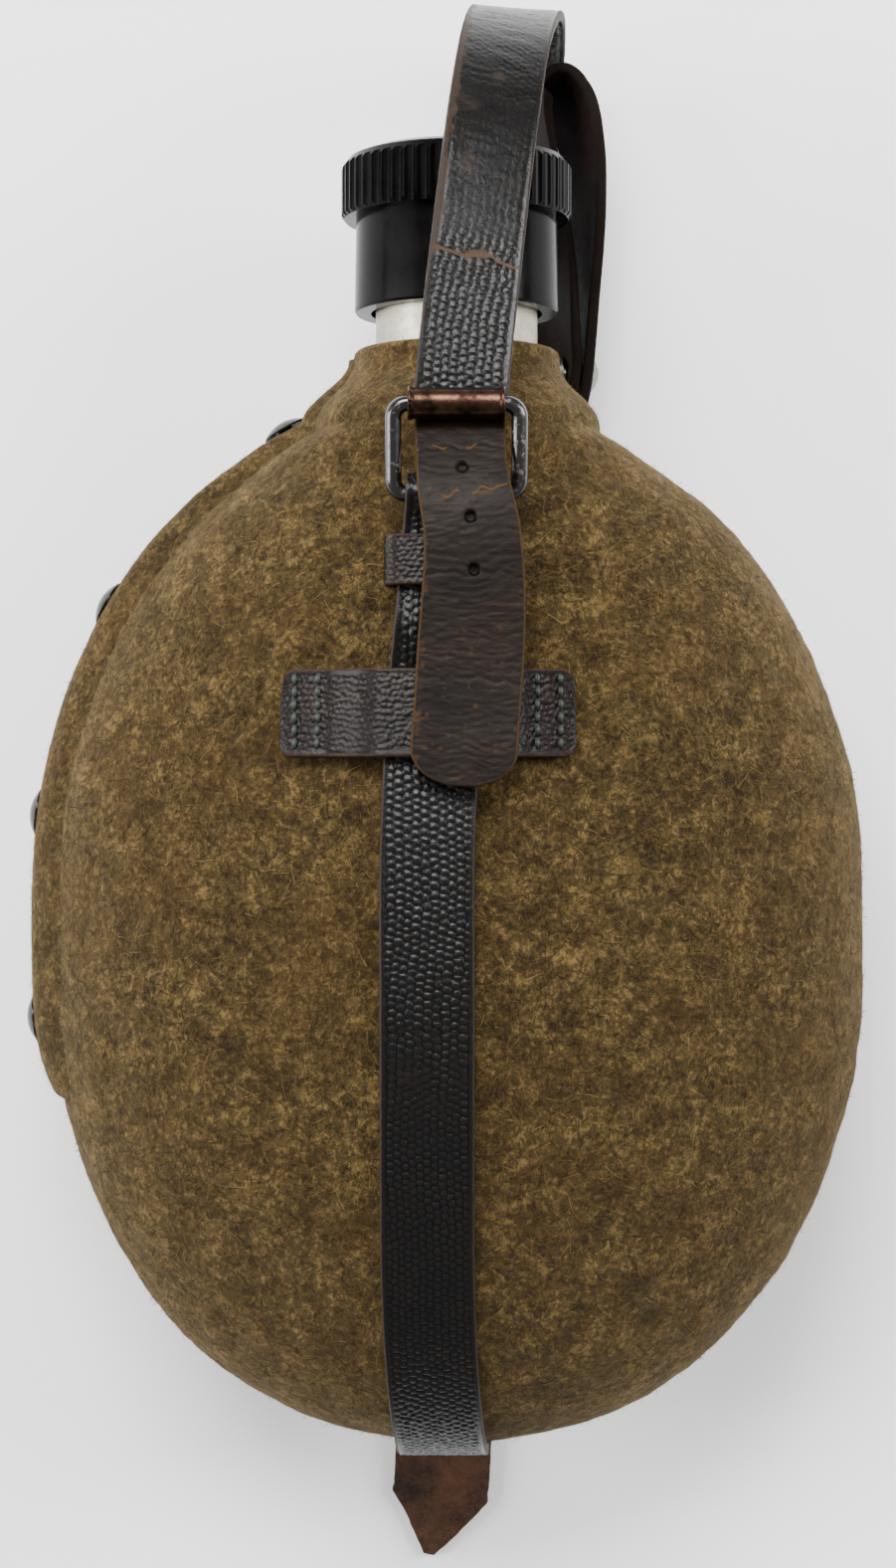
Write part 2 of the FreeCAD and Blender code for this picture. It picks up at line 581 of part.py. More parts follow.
def make_buckle():
    """Frame, roller and prong, drawn flat about the lower bar and then tilted into place."""
    tilt = FreeCAD.Placement(V(BUCKLE_X, BAR_Y, BAR_Z), FreeCAD.Rotation(V(1, 0, 0), FRAME_TILT))
    half, c = FRAME_SPAN / 2.0, FRAME_CORNER
    reach = FRAME_REACH
    d = c * (1.0 - math.sqrt(0.5))
    straight = [((0, 0), (half - c, 0)), ((half, c), (half, reach - c)),
                ((half - c, reach), (-half + c, reach)), ((-half, reach - c), (-half, c)),
                ((-half + c, 0), (0, 0))]
    corner = [((half - c, 0), (half - d, d), (half, c)),
              ((half, reach - c), (half - d, reach - d), (half - c, reach)),
              ((-half + c, reach), (-half + d, reach - d), (-half, reach - c)),
              ((-half, c), (-half + d, d), (-half + c, 0))]
    edges = []
    for i, (a, b) in enumerate(straight):
        edges.append(Part.LineSegment(V(*a, 0), V(*b, 0)).toShape())
        if i < len(corner):
            edges.append(Part.Arc(*[V(*p, 0) for p in corner[i]]).toShape())
    path = Part.Wire(edges)
    frame = path.makePipeShell([Part.Wire(Part.makeCircle(WIRE_R, V(0, 0, 0), V(1, 0, 0)))], True, False)
    frame.Placement = tilt
    parts["buckle_frame"] = frame

    roller = rod((0, reach, 0), (1, 0, 0), ROLLER_R, ROLLER_LENGTH)
    roller = roller.cut(rod((0, reach, 0), (1, 0, 0), ROLLER_BORE_R, ROLLER_LENGTH + 2))
    roller.Placement = tilt
    parts["buckle_roller"] = roller

    # The prong hangs behind the strap, which isn't pinned.
    drop = FreeCAD.Placement(V(BUCKLE_X, BAR_Y, BAR_Z), FreeCAD.Rotation(V(1, 0, 0), -14.0))
    eye = rod((0, 0, 0), (1, 0, 0), WIRE_R + 0.1 + 2 * PRONG_R * 0.8, 2.6)
    tine = rod((0, 10.6, 0), (0, 1, 0), PRONG_R, 16.4)
    eye = eye.fuse(tine).removeSplitter().cut(rod((0, 0, 0), (1, 0, 0), WIRE_R + 0.1, 6.0))
    eye.Placement = drop
    parts["buckle_prong"] = eye


def main():
    make_bottle()
    make_cap()
    make_cover()
    make_flap()
    make_main_strap()
    make_tail()
    make_loops()
    make_keeper()
    make_back_strap()
    make_hanger()
    make_buckle()
    os.makedirs("parts", exist_ok=True)
    for name, shape in parts.items():
        shape.exportStep("parts/" + name + ".step")
        print(name, shape.isValid(), len(shape.Solids), round(shape.Volume, 1))


main()
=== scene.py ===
import math

import bpy
import numpy as np
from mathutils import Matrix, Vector


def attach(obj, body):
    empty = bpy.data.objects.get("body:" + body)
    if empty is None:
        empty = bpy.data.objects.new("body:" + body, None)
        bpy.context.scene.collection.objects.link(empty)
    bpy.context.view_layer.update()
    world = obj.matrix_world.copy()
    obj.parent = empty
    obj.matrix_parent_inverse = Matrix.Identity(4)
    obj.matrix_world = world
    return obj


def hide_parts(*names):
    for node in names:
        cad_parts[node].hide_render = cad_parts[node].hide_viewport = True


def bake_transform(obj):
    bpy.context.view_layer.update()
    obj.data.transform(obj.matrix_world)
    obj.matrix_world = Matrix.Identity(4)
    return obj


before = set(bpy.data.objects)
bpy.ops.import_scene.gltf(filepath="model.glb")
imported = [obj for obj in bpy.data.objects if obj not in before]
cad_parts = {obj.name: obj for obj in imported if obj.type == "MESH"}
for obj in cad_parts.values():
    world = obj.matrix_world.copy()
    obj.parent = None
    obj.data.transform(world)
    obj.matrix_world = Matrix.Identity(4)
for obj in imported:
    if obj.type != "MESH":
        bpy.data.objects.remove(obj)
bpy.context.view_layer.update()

rng = np.random.default_rng(11)
MM = 0.001

# The covered body, in millimetres. These follow the CAD model's own formulas.
HALF_WIDTH = 80.6
FRONT_DEPTH = 44.0
BACK_DEPTH = 37.2
BELOW = 101.5
ABOVE = 97.0
LOW_POWER = 2.22
HIGH_POWER = 2.25
AXIS_Z = 44.0
NECK = 20.5
NECK_FLARE = 8.0
NECK_FLARE_Y = 98.0
NECK_FLARE_REACH = 13.0
NECK_SWELL_POWER = 2.5
RIM_Y = 113.5
RIM_ROLL = 1.2
FELT = 3.0
COVER_FIBRES = 60000
FLAP_FIBRES = 9000

# The leather and the buckle.
STRAP = 17.4
STRAP_T = 2.2
LOOP_T = 1.8
LAYER_GAP = 0.2
FRONT_STRAP_X = -5.5
TAIL_FLARE = 3.0
TAIL_HOLES = ((0.9, 85.6), (2.4, 76.3), (3.0, 67.0))
TAIL_CRACK_YS = (89.5, 81.0, 66.0, 47.0)
LOOP_SPAN = 54.0
LOOP_HEIGHT = 16.5
LOOP_CORNER = 2.6
FRONT_LOOP_X = -5.4
FRONT_LOOP_Y = 41.0
BACK_LOOP_X = -3.0
BACK_LOOP_Y = 0.0
STITCH_ROWS = (-24.0, -19.8, 19.8, 24.0)
KEEPER = 9.4
KEEPER_X = -1.7
KEEPER_Y = 69.0
BACK_STRAP = 21.0
BACK_STRAP_T = 2.0
HANGER = 18.0
HANGER_T = 2.4
BAR_Y = 81.3
BAR_Z = 84.1
BAR_R = 1.5
FRAME_REACH = 16.6
FRAME_TILT = math.radians(10.0)
ROLLER_R = 3.0
ROLLER_X = -0.15
ROLLER_Y = BAR_Y + FRAME_REACH * math.cos(FRAME_TILT)
ROLLER_Z = BAR_Z + FRAME_REACH * math.sin(FRAME_TILT)
FOLD_SLOPE = 0.12

# The strap is cracked across twice: in front, this far along from its sewn-down end, and over
# the roller, this far back from its other end.
FRONT_CRACK = 134.0
UPPER_CRACK = 27.6

# The flap on the left side, by angle round the body: 180 degrees is straight left.
FLAP_FRONT = 161.0
FLAP_BACK = 206.0
FLAP_LOW_Y = -35.0
FLAP_HIGH_Y = 111.5

# The studio, in metres and watts.
TABLE_REACH = 40.0
TABLE_Z = -0.0002
LIT_POINT = (0.0, 0.03, 0.05)
TOP_BOX = (0.7, 0.5)
TOP_WATTS = 34.0
SIDE_BOX = (0.5, 0.9)
SIDE_WATTS = 24.0
WORLD_STRENGTH = 0.5
CAMERA_AT = (-0.0017, 0.028, 0.604)
CAMERA_LENS = 64.9
CAMERA_SENSOR = 36.0


# ---------------------------------------------------------------- small helpers

def smoothstep(low, high, value):
    t = np.clip((np.asarray(value, float) - low) / (high - low), 0.0, 1.0)
    return t * t * (3.0 - 2.0 * t)


def unit(vectors):
    return vectors / np.maximum(np.linalg.norm(vectors, axis=-1, keepdims=True), 1e-9)


def lattice_noise(points, cell, seed):
    """Smooth value noise from 0 to 1 at points (..., 2 or 3), in cells of the given size."""
    p = np.asarray(points, float) / cell
    base = np.floor(p).astype(np.int64)
    frac = p - base
    frac = frac * frac * (3.0 - 2.0 * frac)
    primes = np.array([73856093, 19349663, 83492791])[: p.shape[-1]]
    total = np.zeros(p.shape[:-1])
    for corner in np.ndindex(*([2] * p.shape[-1])):
        offset = np.array(corner)
        key = ((base + offset) * primes).sum(-1) + seed * 7919
        key = (key ^ (key >> 13)) * 1274126177
        value = ((key ^ (key >> 16)) & 0xFFFF) / 65535.0
        weight = np.where(offset == 1, frac, 1.0 - frac).prod(-1)
        total += value * weight
    return total


def noise_at(u, v, cell, seed):
    """The same noise at flat places (u, v)."""
    return lattice_noise(np.stack([u, v], -1), cell, seed)


def mesh_piece(name, points, faces, material, body, node=None, attributes=None):
    """A mesh from points in millimetres, riding on a CAD body and standing for a CAD node."""
    mesh = bpy.data.meshes.new(name)
    mesh.from_pydata((np.asarray(points) * MM).tolist(), [], [tuple(f) for f in faces])
    for key, values in (attributes or {}).items():
        layer = mesh.attributes.new(key, "FLOAT", "POINT")
        layer.data.foreach_set("value", np.asarray(values, np.float32).ravel())
    mesh.materials.append(material)
    mesh.polygons.foreach_set("use_smooth", [True] * len(mesh.polygons))
    mesh.update()
    piece = bpy.data.objects.new(name, mesh)
    bpy.context.scene.collection.objects.link(piece)
    if node:
        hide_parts(*([node] if isinstance(node, str) else node))
    if body:
        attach(piece, body)
    return piece


def grid_faces(rows, columns, start=0, flip=False):
    """Quads between neighbouring rows of points, each row closed round."""
    i = np.arange(rows - 1)[:, None] * columns
    j = np.arange(columns)[None, :]
    k = (j + 1) % columns
    quads = np.stack([i + j, i + k, i + columns + k, i + columns + j], -1).reshape(-1, 4) + start
    return quads[:, ::-1] if flip else quads


def resample(points, step):
    """Evenly spaced points on a Catmull-Rom curve through the given ones."""
    p = np.asarray(points, float)
    p = np.vstack([2 * p[0] - p[1], p, 2 * p[-1] - p[-2]])
    out = []
    for a, b, c, d in zip(p[:-3], p[1:-2], p[2:-1], p[3:]):
        ta = max(np.linalg.norm(b - a), 1e-6) ** 0.5
        tb = max(np.linalg.norm(c - b), 1e-6) ** 0.5
        tc = max(np.linalg.norm(d - c), 1e-6) ** 0.5
        mb = (b - a) / ta - (c - a) / (ta + tb) + (c - b) / tb
        mc = (c - b) / tb - (d - b) / (tb + tc) + (d - c) / tc
        t = np.linspace(0.0, 1.0, 24, endpoint=False)[:, None]
        out.append((2 * t ** 3 - 3 * t ** 2 + 1) * b + (t ** 3 - 2 * t ** 2 + t) * tb * mb
                   + (-2 * t ** 3 + 3 * t ** 2) * c + (t ** 3 - t ** 2) * tb * mc)
    out = np.vstack(out + [p[-2:-1]])
    s = np.concatenate([[0.0], np.cumsum(np.linalg.norm(np.diff(out, axis=0), axis=1))])
    count = max(4, int(round(s[-1] / step)) + 1)
    at = np.linspace(0.0, s[-1], count)
    return np.stack([np.interp(at, s, out[:, k]) for k in range(3)], -1), at


# ---------------------------------------------------------------- materials

def new_material(name):
    material = bpy.data.materials.new(name)
    material.use_nodes = True
    nodes = material.node_tree.nodes
    nodes.clear()
    output = nodes.new("ShaderNodeOutputMaterial")
    shader = nodes.new("ShaderNodeBsdfPrincipled")
    material.node_tree.links.new(shader.outputs[0], output.inputs[0])
    return material, shader


class Weaver:
    """Short names for building a material's nodes."""

    def __init__(self, material, shader):
        self.tree = material.node_tree
        self.shader = shader
        self.where = self.node("ShaderNodeTexCoord").outputs["Object"]

    def node(self, kind, **inputs):
        made = self.tree.nodes.new(kind)
        for key, value in inputs.items():
            self.feed(made.inputs[key.replace("_", " ")], value)
        return made

    def feed(self, socket, value):
        if hasattr(value, "links"):
            self.tree.links.new(value, socket)
        else:
            socket.default_value = value

    def noise(self, per_mm, detail=4.0, roughness=0.6, distortion=0.0, stretch=None):
        where = self.where
        if stretch:
            mapping = self.node("ShaderNodeMapping", Vector=where, Scale=stretch)
            where = mapping.outputs[0]
        made = self.node("ShaderNodeTexNoise", Vector=where, Scale=per_mm / MM, Detail=detail,
                         Roughness=roughness, Distortion=distortion)
        return made.outputs["Fac"]

    def attribute(self, name):
        made = self.tree.nodes.new("ShaderNodeAttribute")
        made.attribute_name = name
        return made.outputs["Fac"]

    def ramp(self, value, *stops):
        made = self.node("ShaderNodeValToRGB", Fac=value)
        ramp = made.color_ramp
        while len(ramp.elements) < len(stops):
            ramp.elements.new(0.5)
        for element, (at, colour) in zip(ramp.elements, stops):
            element.position = at
            element.color = (*colour, 1.0)
        return made.outputs["Color"]

    def levels(self, value, low, high, to_low=0.0, to_high=1.0):
        made = self.tree.nodes.new("ShaderNodeMapRange")
        self.feed(made.inputs["Value"], value)
        ends = {"From Min": low, "From Max": high, "To Min": to_low, "To Max": to_high}
        for key, number in ends.items():
            made.inputs[key].default_value = number
        return made.outputs["Result"]

    def math(self, operation, a, b=0.0):
        made = self.tree.nodes.new("ShaderNodeMath")
        made.operation = operation
        self.feed(made.inputs[0], a)
        self.feed(made.inputs[1], b)
        return made.outputs[0]

    def mix(self, amount, a, b, kind="MIX"):
        made = self.tree.nodes.new("ShaderNodeMix")
        made.data_type = "RGBA"
        made.blend_type = kind
        self.feed(made.inputs[0], amount)
        self.feed(made.inputs[6], a if hasattr(a, "links") else (*a, 1.0))
        self.feed(made.inputs[7], b if hasattr(b, "links") else (*b, 1.0))
        return made.outputs[2]

    def bump(self, height, depth_mm, strength=1.0, under=None):
        made = self.node("ShaderNodeBump", Height=height, Strength=strength, Distance=depth_mm * MM)
        if under is not None:
            self.feed(made.inputs["Normal"], under)
        return made.outputs[0]

    def finish(self, colour, roughness, normal=None, **constants):
        self.feed(self.shader.inputs["Base Color"], colour)
        self.feed(self.shader.inputs["Roughness"], roughness)
        if normal is not None:
            self.feed(self.shader.inputs["Normal"], normal)
        for key, value in constants.items():
            self.shader.inputs[key.replace("_", " ")].default_value = value


def srgb(r, g, b):
    """A colour given as eight-bit display values, made linear."""
    def linear(c):
        c /= 255.0
        return c / 12.92 if c <= 0.04045 else ((c + 0.055) / 1.055) ** 2.4
    return (linear(r), linear(g), linear(b))


def felt_material(name):
    """Milled wool: olive brown, flecked dark and light, with a hairy nap."""
    material, shader = new_material(name)
    w = Weaver(material, shader)
    clumps = w.noise(0.16, 5.0, 0.62)
    flecks = w.noise(0.75, 4.0, 0.75, 0.6)
    hairs = w.noise(0.9, 3.0, 0.7, 2.5, (1.0, 0.35, 1.0))
    tone = w.math("ADD", w.math("MULTIPLY", clumps, 0.3), w.math("MULTIPLY", flecks, 0.5))
    tone = w.math("ADD", tone, w.math("MULTIPLY", hairs, 0.2))
    colour = w.ramp(tone, (0.40, srgb(21, 15, 8)), (0.47, srgb(42, 33, 17)),
                    (0.53, srgb(61, 49, 27)), (0.60, srgb(94, 76, 45)))
    rust = w.levels(w.noise(0.05, 3.0, 0.5), 0.45, 0.7)
    colour = w.mix(w.math("MULTIPLY", rust, 0.3), colour, srgb(56, 39, 19))
    coarse = w.bump(clumps, 1.2, 0.5)
    normal = w.bump(flecks, 0.7, 0.7, coarse)
    w.finish(colour, 0.95, normal, Specular_IOR_Level=0.05, Sheen_Weight=0.3, Sheen_Roughness=0.5,
             Sheen_Tint=(0.62, 0.47, 0.26, 1.0))
    return material


def fibre_material():
    material, shader = new_material("wool_fibres")
    w = Weaver(material, shader)
    colour = w.ramp(w.attribute("tone"), (0.0, srgb(16, 12, 6)), (0.45, srgb(48, 37, 20)),
                    (0.75, srgb(76, 61, 35)), (1.0, srgb(122, 101, 63)))
    w.finish(colour, 0.9, Specular_IOR_Level=0.08)
    return material


def leather_material(name, high, low, worn, gloss, scuffs, raw, shine):
    """Dressed leather. "relief" is 1 on a grain's crown and 0 in its grooves, and "rim" runs from
    0 inside to 1 on the cut edge. Low relief takes the low colour, which is painted shade in the grooves."""
    material, shader = new_material(name)
    w = Weaver(material, shader)
    relief = w.attribute("relief")
    rim = w.attribute("rim")
    patches = w.noise(0.09, 4.0, 0.6)
    fine = w.noise(1.6, 4.0, 0.7)
    crackle = w.noise(0.5, 6.0, 0.75, 0.8, (0.35, 1.6, 1.0))
    # The grooves, holes and pressed lines are painted darker than the crowns: painted shade.
    colour = w.mix(w.levels(relief, 0.25, 0.8), low, high)
    colour = w.mix(w.math("MULTIPLY", w.levels(patches, 0.42, 0.72), 0.6), colour, low)
    wear = w.math("MULTIPLY", w.levels(crackle, 0.56, 0.72), w.levels(patches, 0.60, 0.36))
    wear = w.math("MULTIPLY", wear, scuffs)
    rubbed = w.levels(w.math("ADD", w.attribute("wear"), w.math("MULTIPLY", crackle, 0.5)), 0.5, 0.85)
    wear = w.math("MAXIMUM", wear, rubbed)
    colour = w.mix(wear, colour, worn)
    edge = w.levels(w.math("ADD", rim, w.math("MULTIPLY", fine, 0.3)), 0.55, 0.95)
    colour = w.mix(edge, colour, w.mix(w.levels(fine, 0.35, 0.65), [c * 0.45 for c in raw], raw))
    rough = w.levels(w.math("ADD", w.math("MULTIPLY", fine, 0.3), w.math("MULTIPLY", patches, 0.5)),
                     0.25, 0.6, gloss - 0.08, gloss + 0.22)
    rough = w.math("ADD", rough, w.math("MULTIPLY", w.math("MAXIMUM", wear, edge), 0.35))
    normal = w.bump(w.math("ADD", w.math("MULTIPLY", crackle, 0.5), fine), 0.12, 0.7)
    w.finish(colour, rough, normal, Specular_IOR_Level=shine)
    return material


def suede_material(name, deep, light):
    """The flesh side of leather: short nap, brown, rubbed darker in patches."""
    material, shader = new_material(name)
    w = Weaver(material, shader)
    patches = w.noise(0.13, 5.0, 0.65)
    nap = w.noise(1.3, 5.0, 0.75, 0.7)
    tone = w.math("ADD", w.math("MULTIPLY", patches, 0.6), w.math("MULTIPLY", nap, 0.4))
    colour = w.ramp(tone, (0.4, deep), (0.6, light))
    rim = w.levels(w.attribute("rim"), 0.4, 1.0)
    colour = w.mix(w.math("MULTIPLY", rim, 0.6), colour, srgb(46, 33, 20))
    w.finish(colour, 0.88, w.bump(nap, 0.35, 0.9), Specular_IOR_Level=0.2, Sheen_Weight=0.1)
    return material


def metal_material(name, clean, stain, roughness, stains=0.5, bump=0.03):
    material, shader = new_material(name)
    w = Weaver(material, shader)
    patches = w.noise(0.25, 5.0, 0.65)
    fine = w.noise(2.5, 3.0, 0.6)
    amount = w.math("MULTIPLY", w.levels(patches, 0.42, 0.66), stains)
    colour = w.mix(amount, clean, stain)
    rough = w.levels(w.math("ADD", w.math("MULTIPLY", patches, 0.6), w.math("MULTIPLY", fine, 0.4)),
                     0.3, 0.7, roughness - 0.1, roughness + 0.18)
    w.finish(colour, rough, w.bump(fine, bump, 0.6), Metallic=1.0)
    return material


def enamel_material(name, black, bare, shine):
    """Black enamel worn through to metal in places."""
    material, shader = new_material(name)
    w = Weaver(material, shader)
    chips = w.levels(w.noise(0.5, 6.0, 0.7), 0.57, 0.64)
    colour = w.mix(chips, black, bare)
    rough = w.levels(w.noise(1.0, 4.0, 0.6), 0.3, 0.7, 0.14, 0.3)
    w.finish(colour, rough, w.bump(chips, 0.04, 0.5), Specular_IOR_Level=shine)
    return material


def bakelite_material():
    material, shader = new_material("bakelite")
    w = Weaver(material, shader)
    cloud = w.noise(0.12, 4.0, 0.6)
    fine = w.noise(3.0, 3.0, 0.6)
    dust = w.levels(w.noise(1.1, 6.0, 0.75), 0.6, 0.78)
    colour = w.mix(w.levels(cloud, 0.4, 0.7), srgb(5, 4, 4), srgb(10, 9, 9))
    colour = w.mix(w.math("MULTIPLY", dust, 0.05), colour, srgb(110, 104, 98))
    rough = w.levels(w.math("ADD", w.math("MULTIPLY", cloud, 0.5), w.math("MULTIPLY", fine, 0.5)),
                     0.3, 0.7, 0.12, 0.26)
    w.finish(colour, rough, w.bump(fine, 0.02, 0.5), Specular_IOR_Level=0.045)
    return material


def thread_material():
    material, shader = new_material("waxed_thread")
    w = Weaver(material, shader)
    twist = w.node("ShaderNodeTexWave", Vector=w.where, Scale=1.2 / MM, Distortion=1.5)
    # The twist's grooves are painted darker than its crests: painted shade.
    colour = w.ramp(twist.outputs["Fac"], (0.2, srgb(16, 21, 17)), (0.8, srgb(56, 68, 58)))
    w.finish(colour, 0.6, w.bump(twist.outputs["Fac"], 0.15, 0.8))
    return material


def rubber_material():
    material, shader = new_material("aged_rubber")
    w = Weaver(material, shader)
    bloom = w.noise(0.4, 5.0, 0.6)
    w.finish(w.ramp(bloom, (0.35, srgb(74, 36, 26)), (0.7, srgb(112, 66, 48))), 0.75,
             w.bump(bloom, 0.1, 0.5))
    return material


felt = felt_material("felt")
flap_felt = felt_material("felt_flap")
fibres = fibre_material()
# Each leather has its crowns, its grooves (darker: painted shade) and worn places, its roughness
# and share of scuffs, and then its cut edge and its shine.
strap_leather = leather_material("strap_leather", srgb(17, 15, 14), srgb(3, 3, 3), srgb(56, 39, 25),
                                 0.2, 0.25, srgb(38, 27, 18), 0.21)
loop_leather = leather_material("loop_leather", srgb(25, 16, 13), srgb(6, 4, 3), srgb(62, 46, 36),
                                0.2, 0.3, srgb(52, 38, 28), 0.12)
tail_leather = leather_material("tail_leather", srgb(22, 16, 12), srgb(6, 4, 3), srgb(72, 50, 27),
                                0.4, 0.6, srgb(60, 42, 23), 0.09)
hanger_leather = leather_material("hanger_leather", srgb(20, 11, 8), srgb(8, 5, 4), srgb(50, 30, 18),
                                  0.5, 0.5, srgb(20, 13, 9), 0.1)
suede = suede_material("suede", srgb(22, 11, 6), srgb(70, 44, 25))
thread = thread_material()
bakelite = bakelite_material()
aluminium = metal_material("aluminium", (0.37, 0.35, 0.285), (0.22, 0.2, 0.155), 0.4, 0.5)
seal_metal = metal_material("seal_aluminium", (0.75, 0.74, 0.70), (0.5, 0.49, 0.45), 0.35, 0.4)
cap_rivet_metal = metal_material("tarnished_rivet", srgb(186, 172, 124), srgb(120, 104, 68), 0.35, 0.6)
stud_enamel = enamel_material("press_stud_enamel", srgb(16, 15, 12), srgb(60, 52, 34), 0.15)
stud_brass = metal_material("press_stud_brass", srgb(150, 128, 82), srgb(74, 60, 38), 0.42, 0.6)
buckle_enamel = enamel_material("buckle_enamel", srgb(14, 12, 12), srgb(60, 50, 44), 0.6)
roller_metal = metal_material("roller_copper", srgb(74, 53, 42), srgb(9, 7, 6), 0.3, 1.0, 0.06)
steel = metal_material("dull_steel", srgb(150, 146, 138), srgb(84, 76, 66), 0.45, 0.5)
green_steel = metal_material("hanger_rivet", srgb(138, 140, 126), srgb(86, 90, 74), 0.4, 0.7)
rubber = rubber_material()


# ---------------------------------------------------------------- the body's surface

def half_sizes(y, inset=0.0):
    """Half width, front depth and back depth at heights y, drawn in by inset."""
    y = np.asarray(y, float)
    low = np.clip(-y / (BELOW - inset), 0.0, 1.0)
    high = np.clip(y / (ABOVE - inset), 0.0, 1.0)
    share = np.where(y < 0, (1.0 - low ** LOW_POWER) ** (1.0 / LOW_POWER),
                     (1.0 - high ** HIGH_POWER) ** (1.0 / HIGH_POWER))
    fade = smoothstep(40.0, 90.0, y)
    off = np.minimum(1.0, np.abs(y - NECK_FLARE_Y) / NECK_FLARE_REACH)
    neck = (NECK - inset + NECK_FLARE * (1.0 + np.cos(np.pi * off)) / 2.0) * fade
    swelled = [((size - inset) * share) ** NECK_SWELL_POWER + neck ** NECK_SWELL_POWER
               for size in (HALF_WIDTH, FRONT_DEPTH, BACK_DEPTH)]
    return [size ** (1.0 / NECK_SWELL_POWER) for size in swelled]


def body_points(y, angle, inset=0.0):
    """Points on the body at heights y and angles round it, in degrees: 0 is right, 90 is front."""
    width, front, back = half_sizes(y, inset)
    a = np.radians(angle)
    depth = np.where(np.sin(a) >= 0, front, back)
    return np.stack([width * np.cos(a), y + 0.0 * a, AXIS_Z + depth * np.sin(a)], -1)


def body_normals(y, angle):
    """Outward directions at the same places."""
    step = 0.25
    along = body_points(y + step, angle) - body_points(y - step, angle)
    round_it = body_points(y, angle + 0.2) - body_points(y, angle - 0.2)
    return unit(np.cross(along, round_it))


def surface_z(x, y, direction=1):
    """The height of the cover at (x, y), on its front for direction 1 and on its back for -1."""
    width, front, back = half_sizes(y)
    depth = front if direction > 0 else back
    return AXIS_Z + direction * depth * np.sqrt(np.maximum(0.0, 1.0 - (np.asarray(x) / width) ** 2))


def body_heights(rows):
    """Heights from just above the bottom's pole to the neck's rim."""
    a = np.radians(np.linspace(89.0, 1.0, rows // 2))
    low = -BELOW * np.sin(a) ** (2.0 / LOW_POWER)
    return np.concatenate([low, np.linspace(1.5, RIM_Y - RIM_ROLL, rows - rows // 2)])


def felt_swell(points):
    """How far the felt's surface stands off its nominal shape: soft lumps and a rough nap."""
    lumps = lattice_noise(points, 26.0, 3) - 0.5
    small = lattice_noise(points, 6.0, 4) - 0.5
    nap = lattice_noise(points, 1.7, 5) - 0.5
    return lumps + 0.35 * small + 0.28 * nap


def make_cover():
    """The felt cover: one closed skin with a rolled rim at the neck."""
    rows, inner_rows, columns = 300, 90, 420
    y = body_heights(rows)[:, None]
    angle = np.linspace(0.0, 360.0, columns, endpoint=False)[None, :]
    y, angle = np.broadcast_arrays(y, angle)
    outer = body_points(y, angle)
    normals = body_normals(y, angle)
    outer = outer + normals * (felt_swell(outer) * smoothstep(116.0, 108.0, y) - 0.25)[..., None]
    rim_angles = np.radians([30.0, 60.0, 90.0, 120.0, 150.0])
    top = outer[-1]
    radial = unit(top - np.array([0.0, RIM_Y - RIM_ROLL, AXIS_Z]))
    rim = [top - radial * (1.35 * (1 - math.cos(a))) + np.array([0.0, RIM_ROLL * math.sin(a), 0.0])
           for a in rim_angles]
    inner_y = np.clip(body_heights(inner_rows)[::-1][:, None], -BELOW + FELT + 0.6, None)
    inner_angle = np.broadcast_to(angle[:1], (inner_rows, columns))
    inner = body_points(inner_y + 0.0 * inner_angle, inner_angle, FELT - 0.3)
    rings = np.concatenate([outer, np.array(rim), inner])
    count = rings.shape[0]
    points = rings.reshape(-1, 3)
    faces = grid_faces(count, columns, flip=True).tolist()
    faces.append(list(range(columns)))
    faces.append(list(range((count - 1) * columns, count * columns))[::-1])
    cover = mesh_piece("felt_cover_skin", points, faces, felt, "canteen", "felt_cover")
    return outer, normals


def flap_lift(y, angle):
    """How far the flap's outer face stands off the cover: it rises out of it along the front."""
    across = smoothstep(FLAP_FRONT, FLAP_FRONT + 13.0, angle)
    end = np.clip((y - FLAP_LOW_Y) / 18.0, 0.0, 1.0)
    by_neck = 0.35 + 0.65 * smoothstep(112.0, 88.0, y)
    return -0.6 + 4.0 * across * by_neck * np.sqrt(1.0 - (1.0 - end) ** 2)


def make_flap():
    """The flap: it grows out of the cover's front, wraps the left side and ends at the back."""
    rows, columns = 240, 60
    y = np.linspace(FLAP_LOW_Y, FLAP_HIGH_Y, rows)[:, None]
    angle = np.linspace(FLAP_FRONT, FLAP_BACK, columns)[None, :]
    # The lower end is cut on the slant, further up at the back.
    near_end = smoothstep(FLAP_LOW_Y + 40.0, FLAP_LOW_Y, y)
    y = y + near_end * 10.0 * (angle - FLAP_FRONT) / (FLAP_BACK - FLAP_FRONT)
    angle = angle + 0.0 * y
    base = body_points(y, angle)
    normals = body_normals(y, angle)
    lift = flap_lift(y, angle)
    outer = base + normals * (lift + 0.5 * felt_swell(base))[..., None]
    inner = base + normals * np.clip(lift - 2.9, -0.9, 0.6)[..., None]
    # One closed skin: out over the outer face, round the free edge and back along the inner one.
    middle = (outer[:, -1:] + inner[:, -1:]) / 2.0
    bulge = unit(outer[:, -1:] - outer[:, -2:-1]) * 0.7
    ring = np.concatenate([outer, middle + bulge, inner[:, ::-1]], axis=1)
    count = ring.shape[1]
    points = ring.reshape(-1, 3)
    faces = grid_faces(rows, count, flip=True).tolist()
    for row, flip in ((0, False), (rows - 1, True)):
        start = row * count
        for j in range(columns - 1):
            quad = [start + j, start + j + 1, start + count - 2 - j, start + count - 1 - j]
            faces.append(quad[::-1] if flip else quad)
        tip = [start + columns - 1, start + columns, start + columns + 1]
        faces.append(tip[::-1] if flip else tip)
    flap = mesh_piece("cover_flap_skin", points, faces, flap_felt, None, "cover_flap")
    return flap, outer, normals


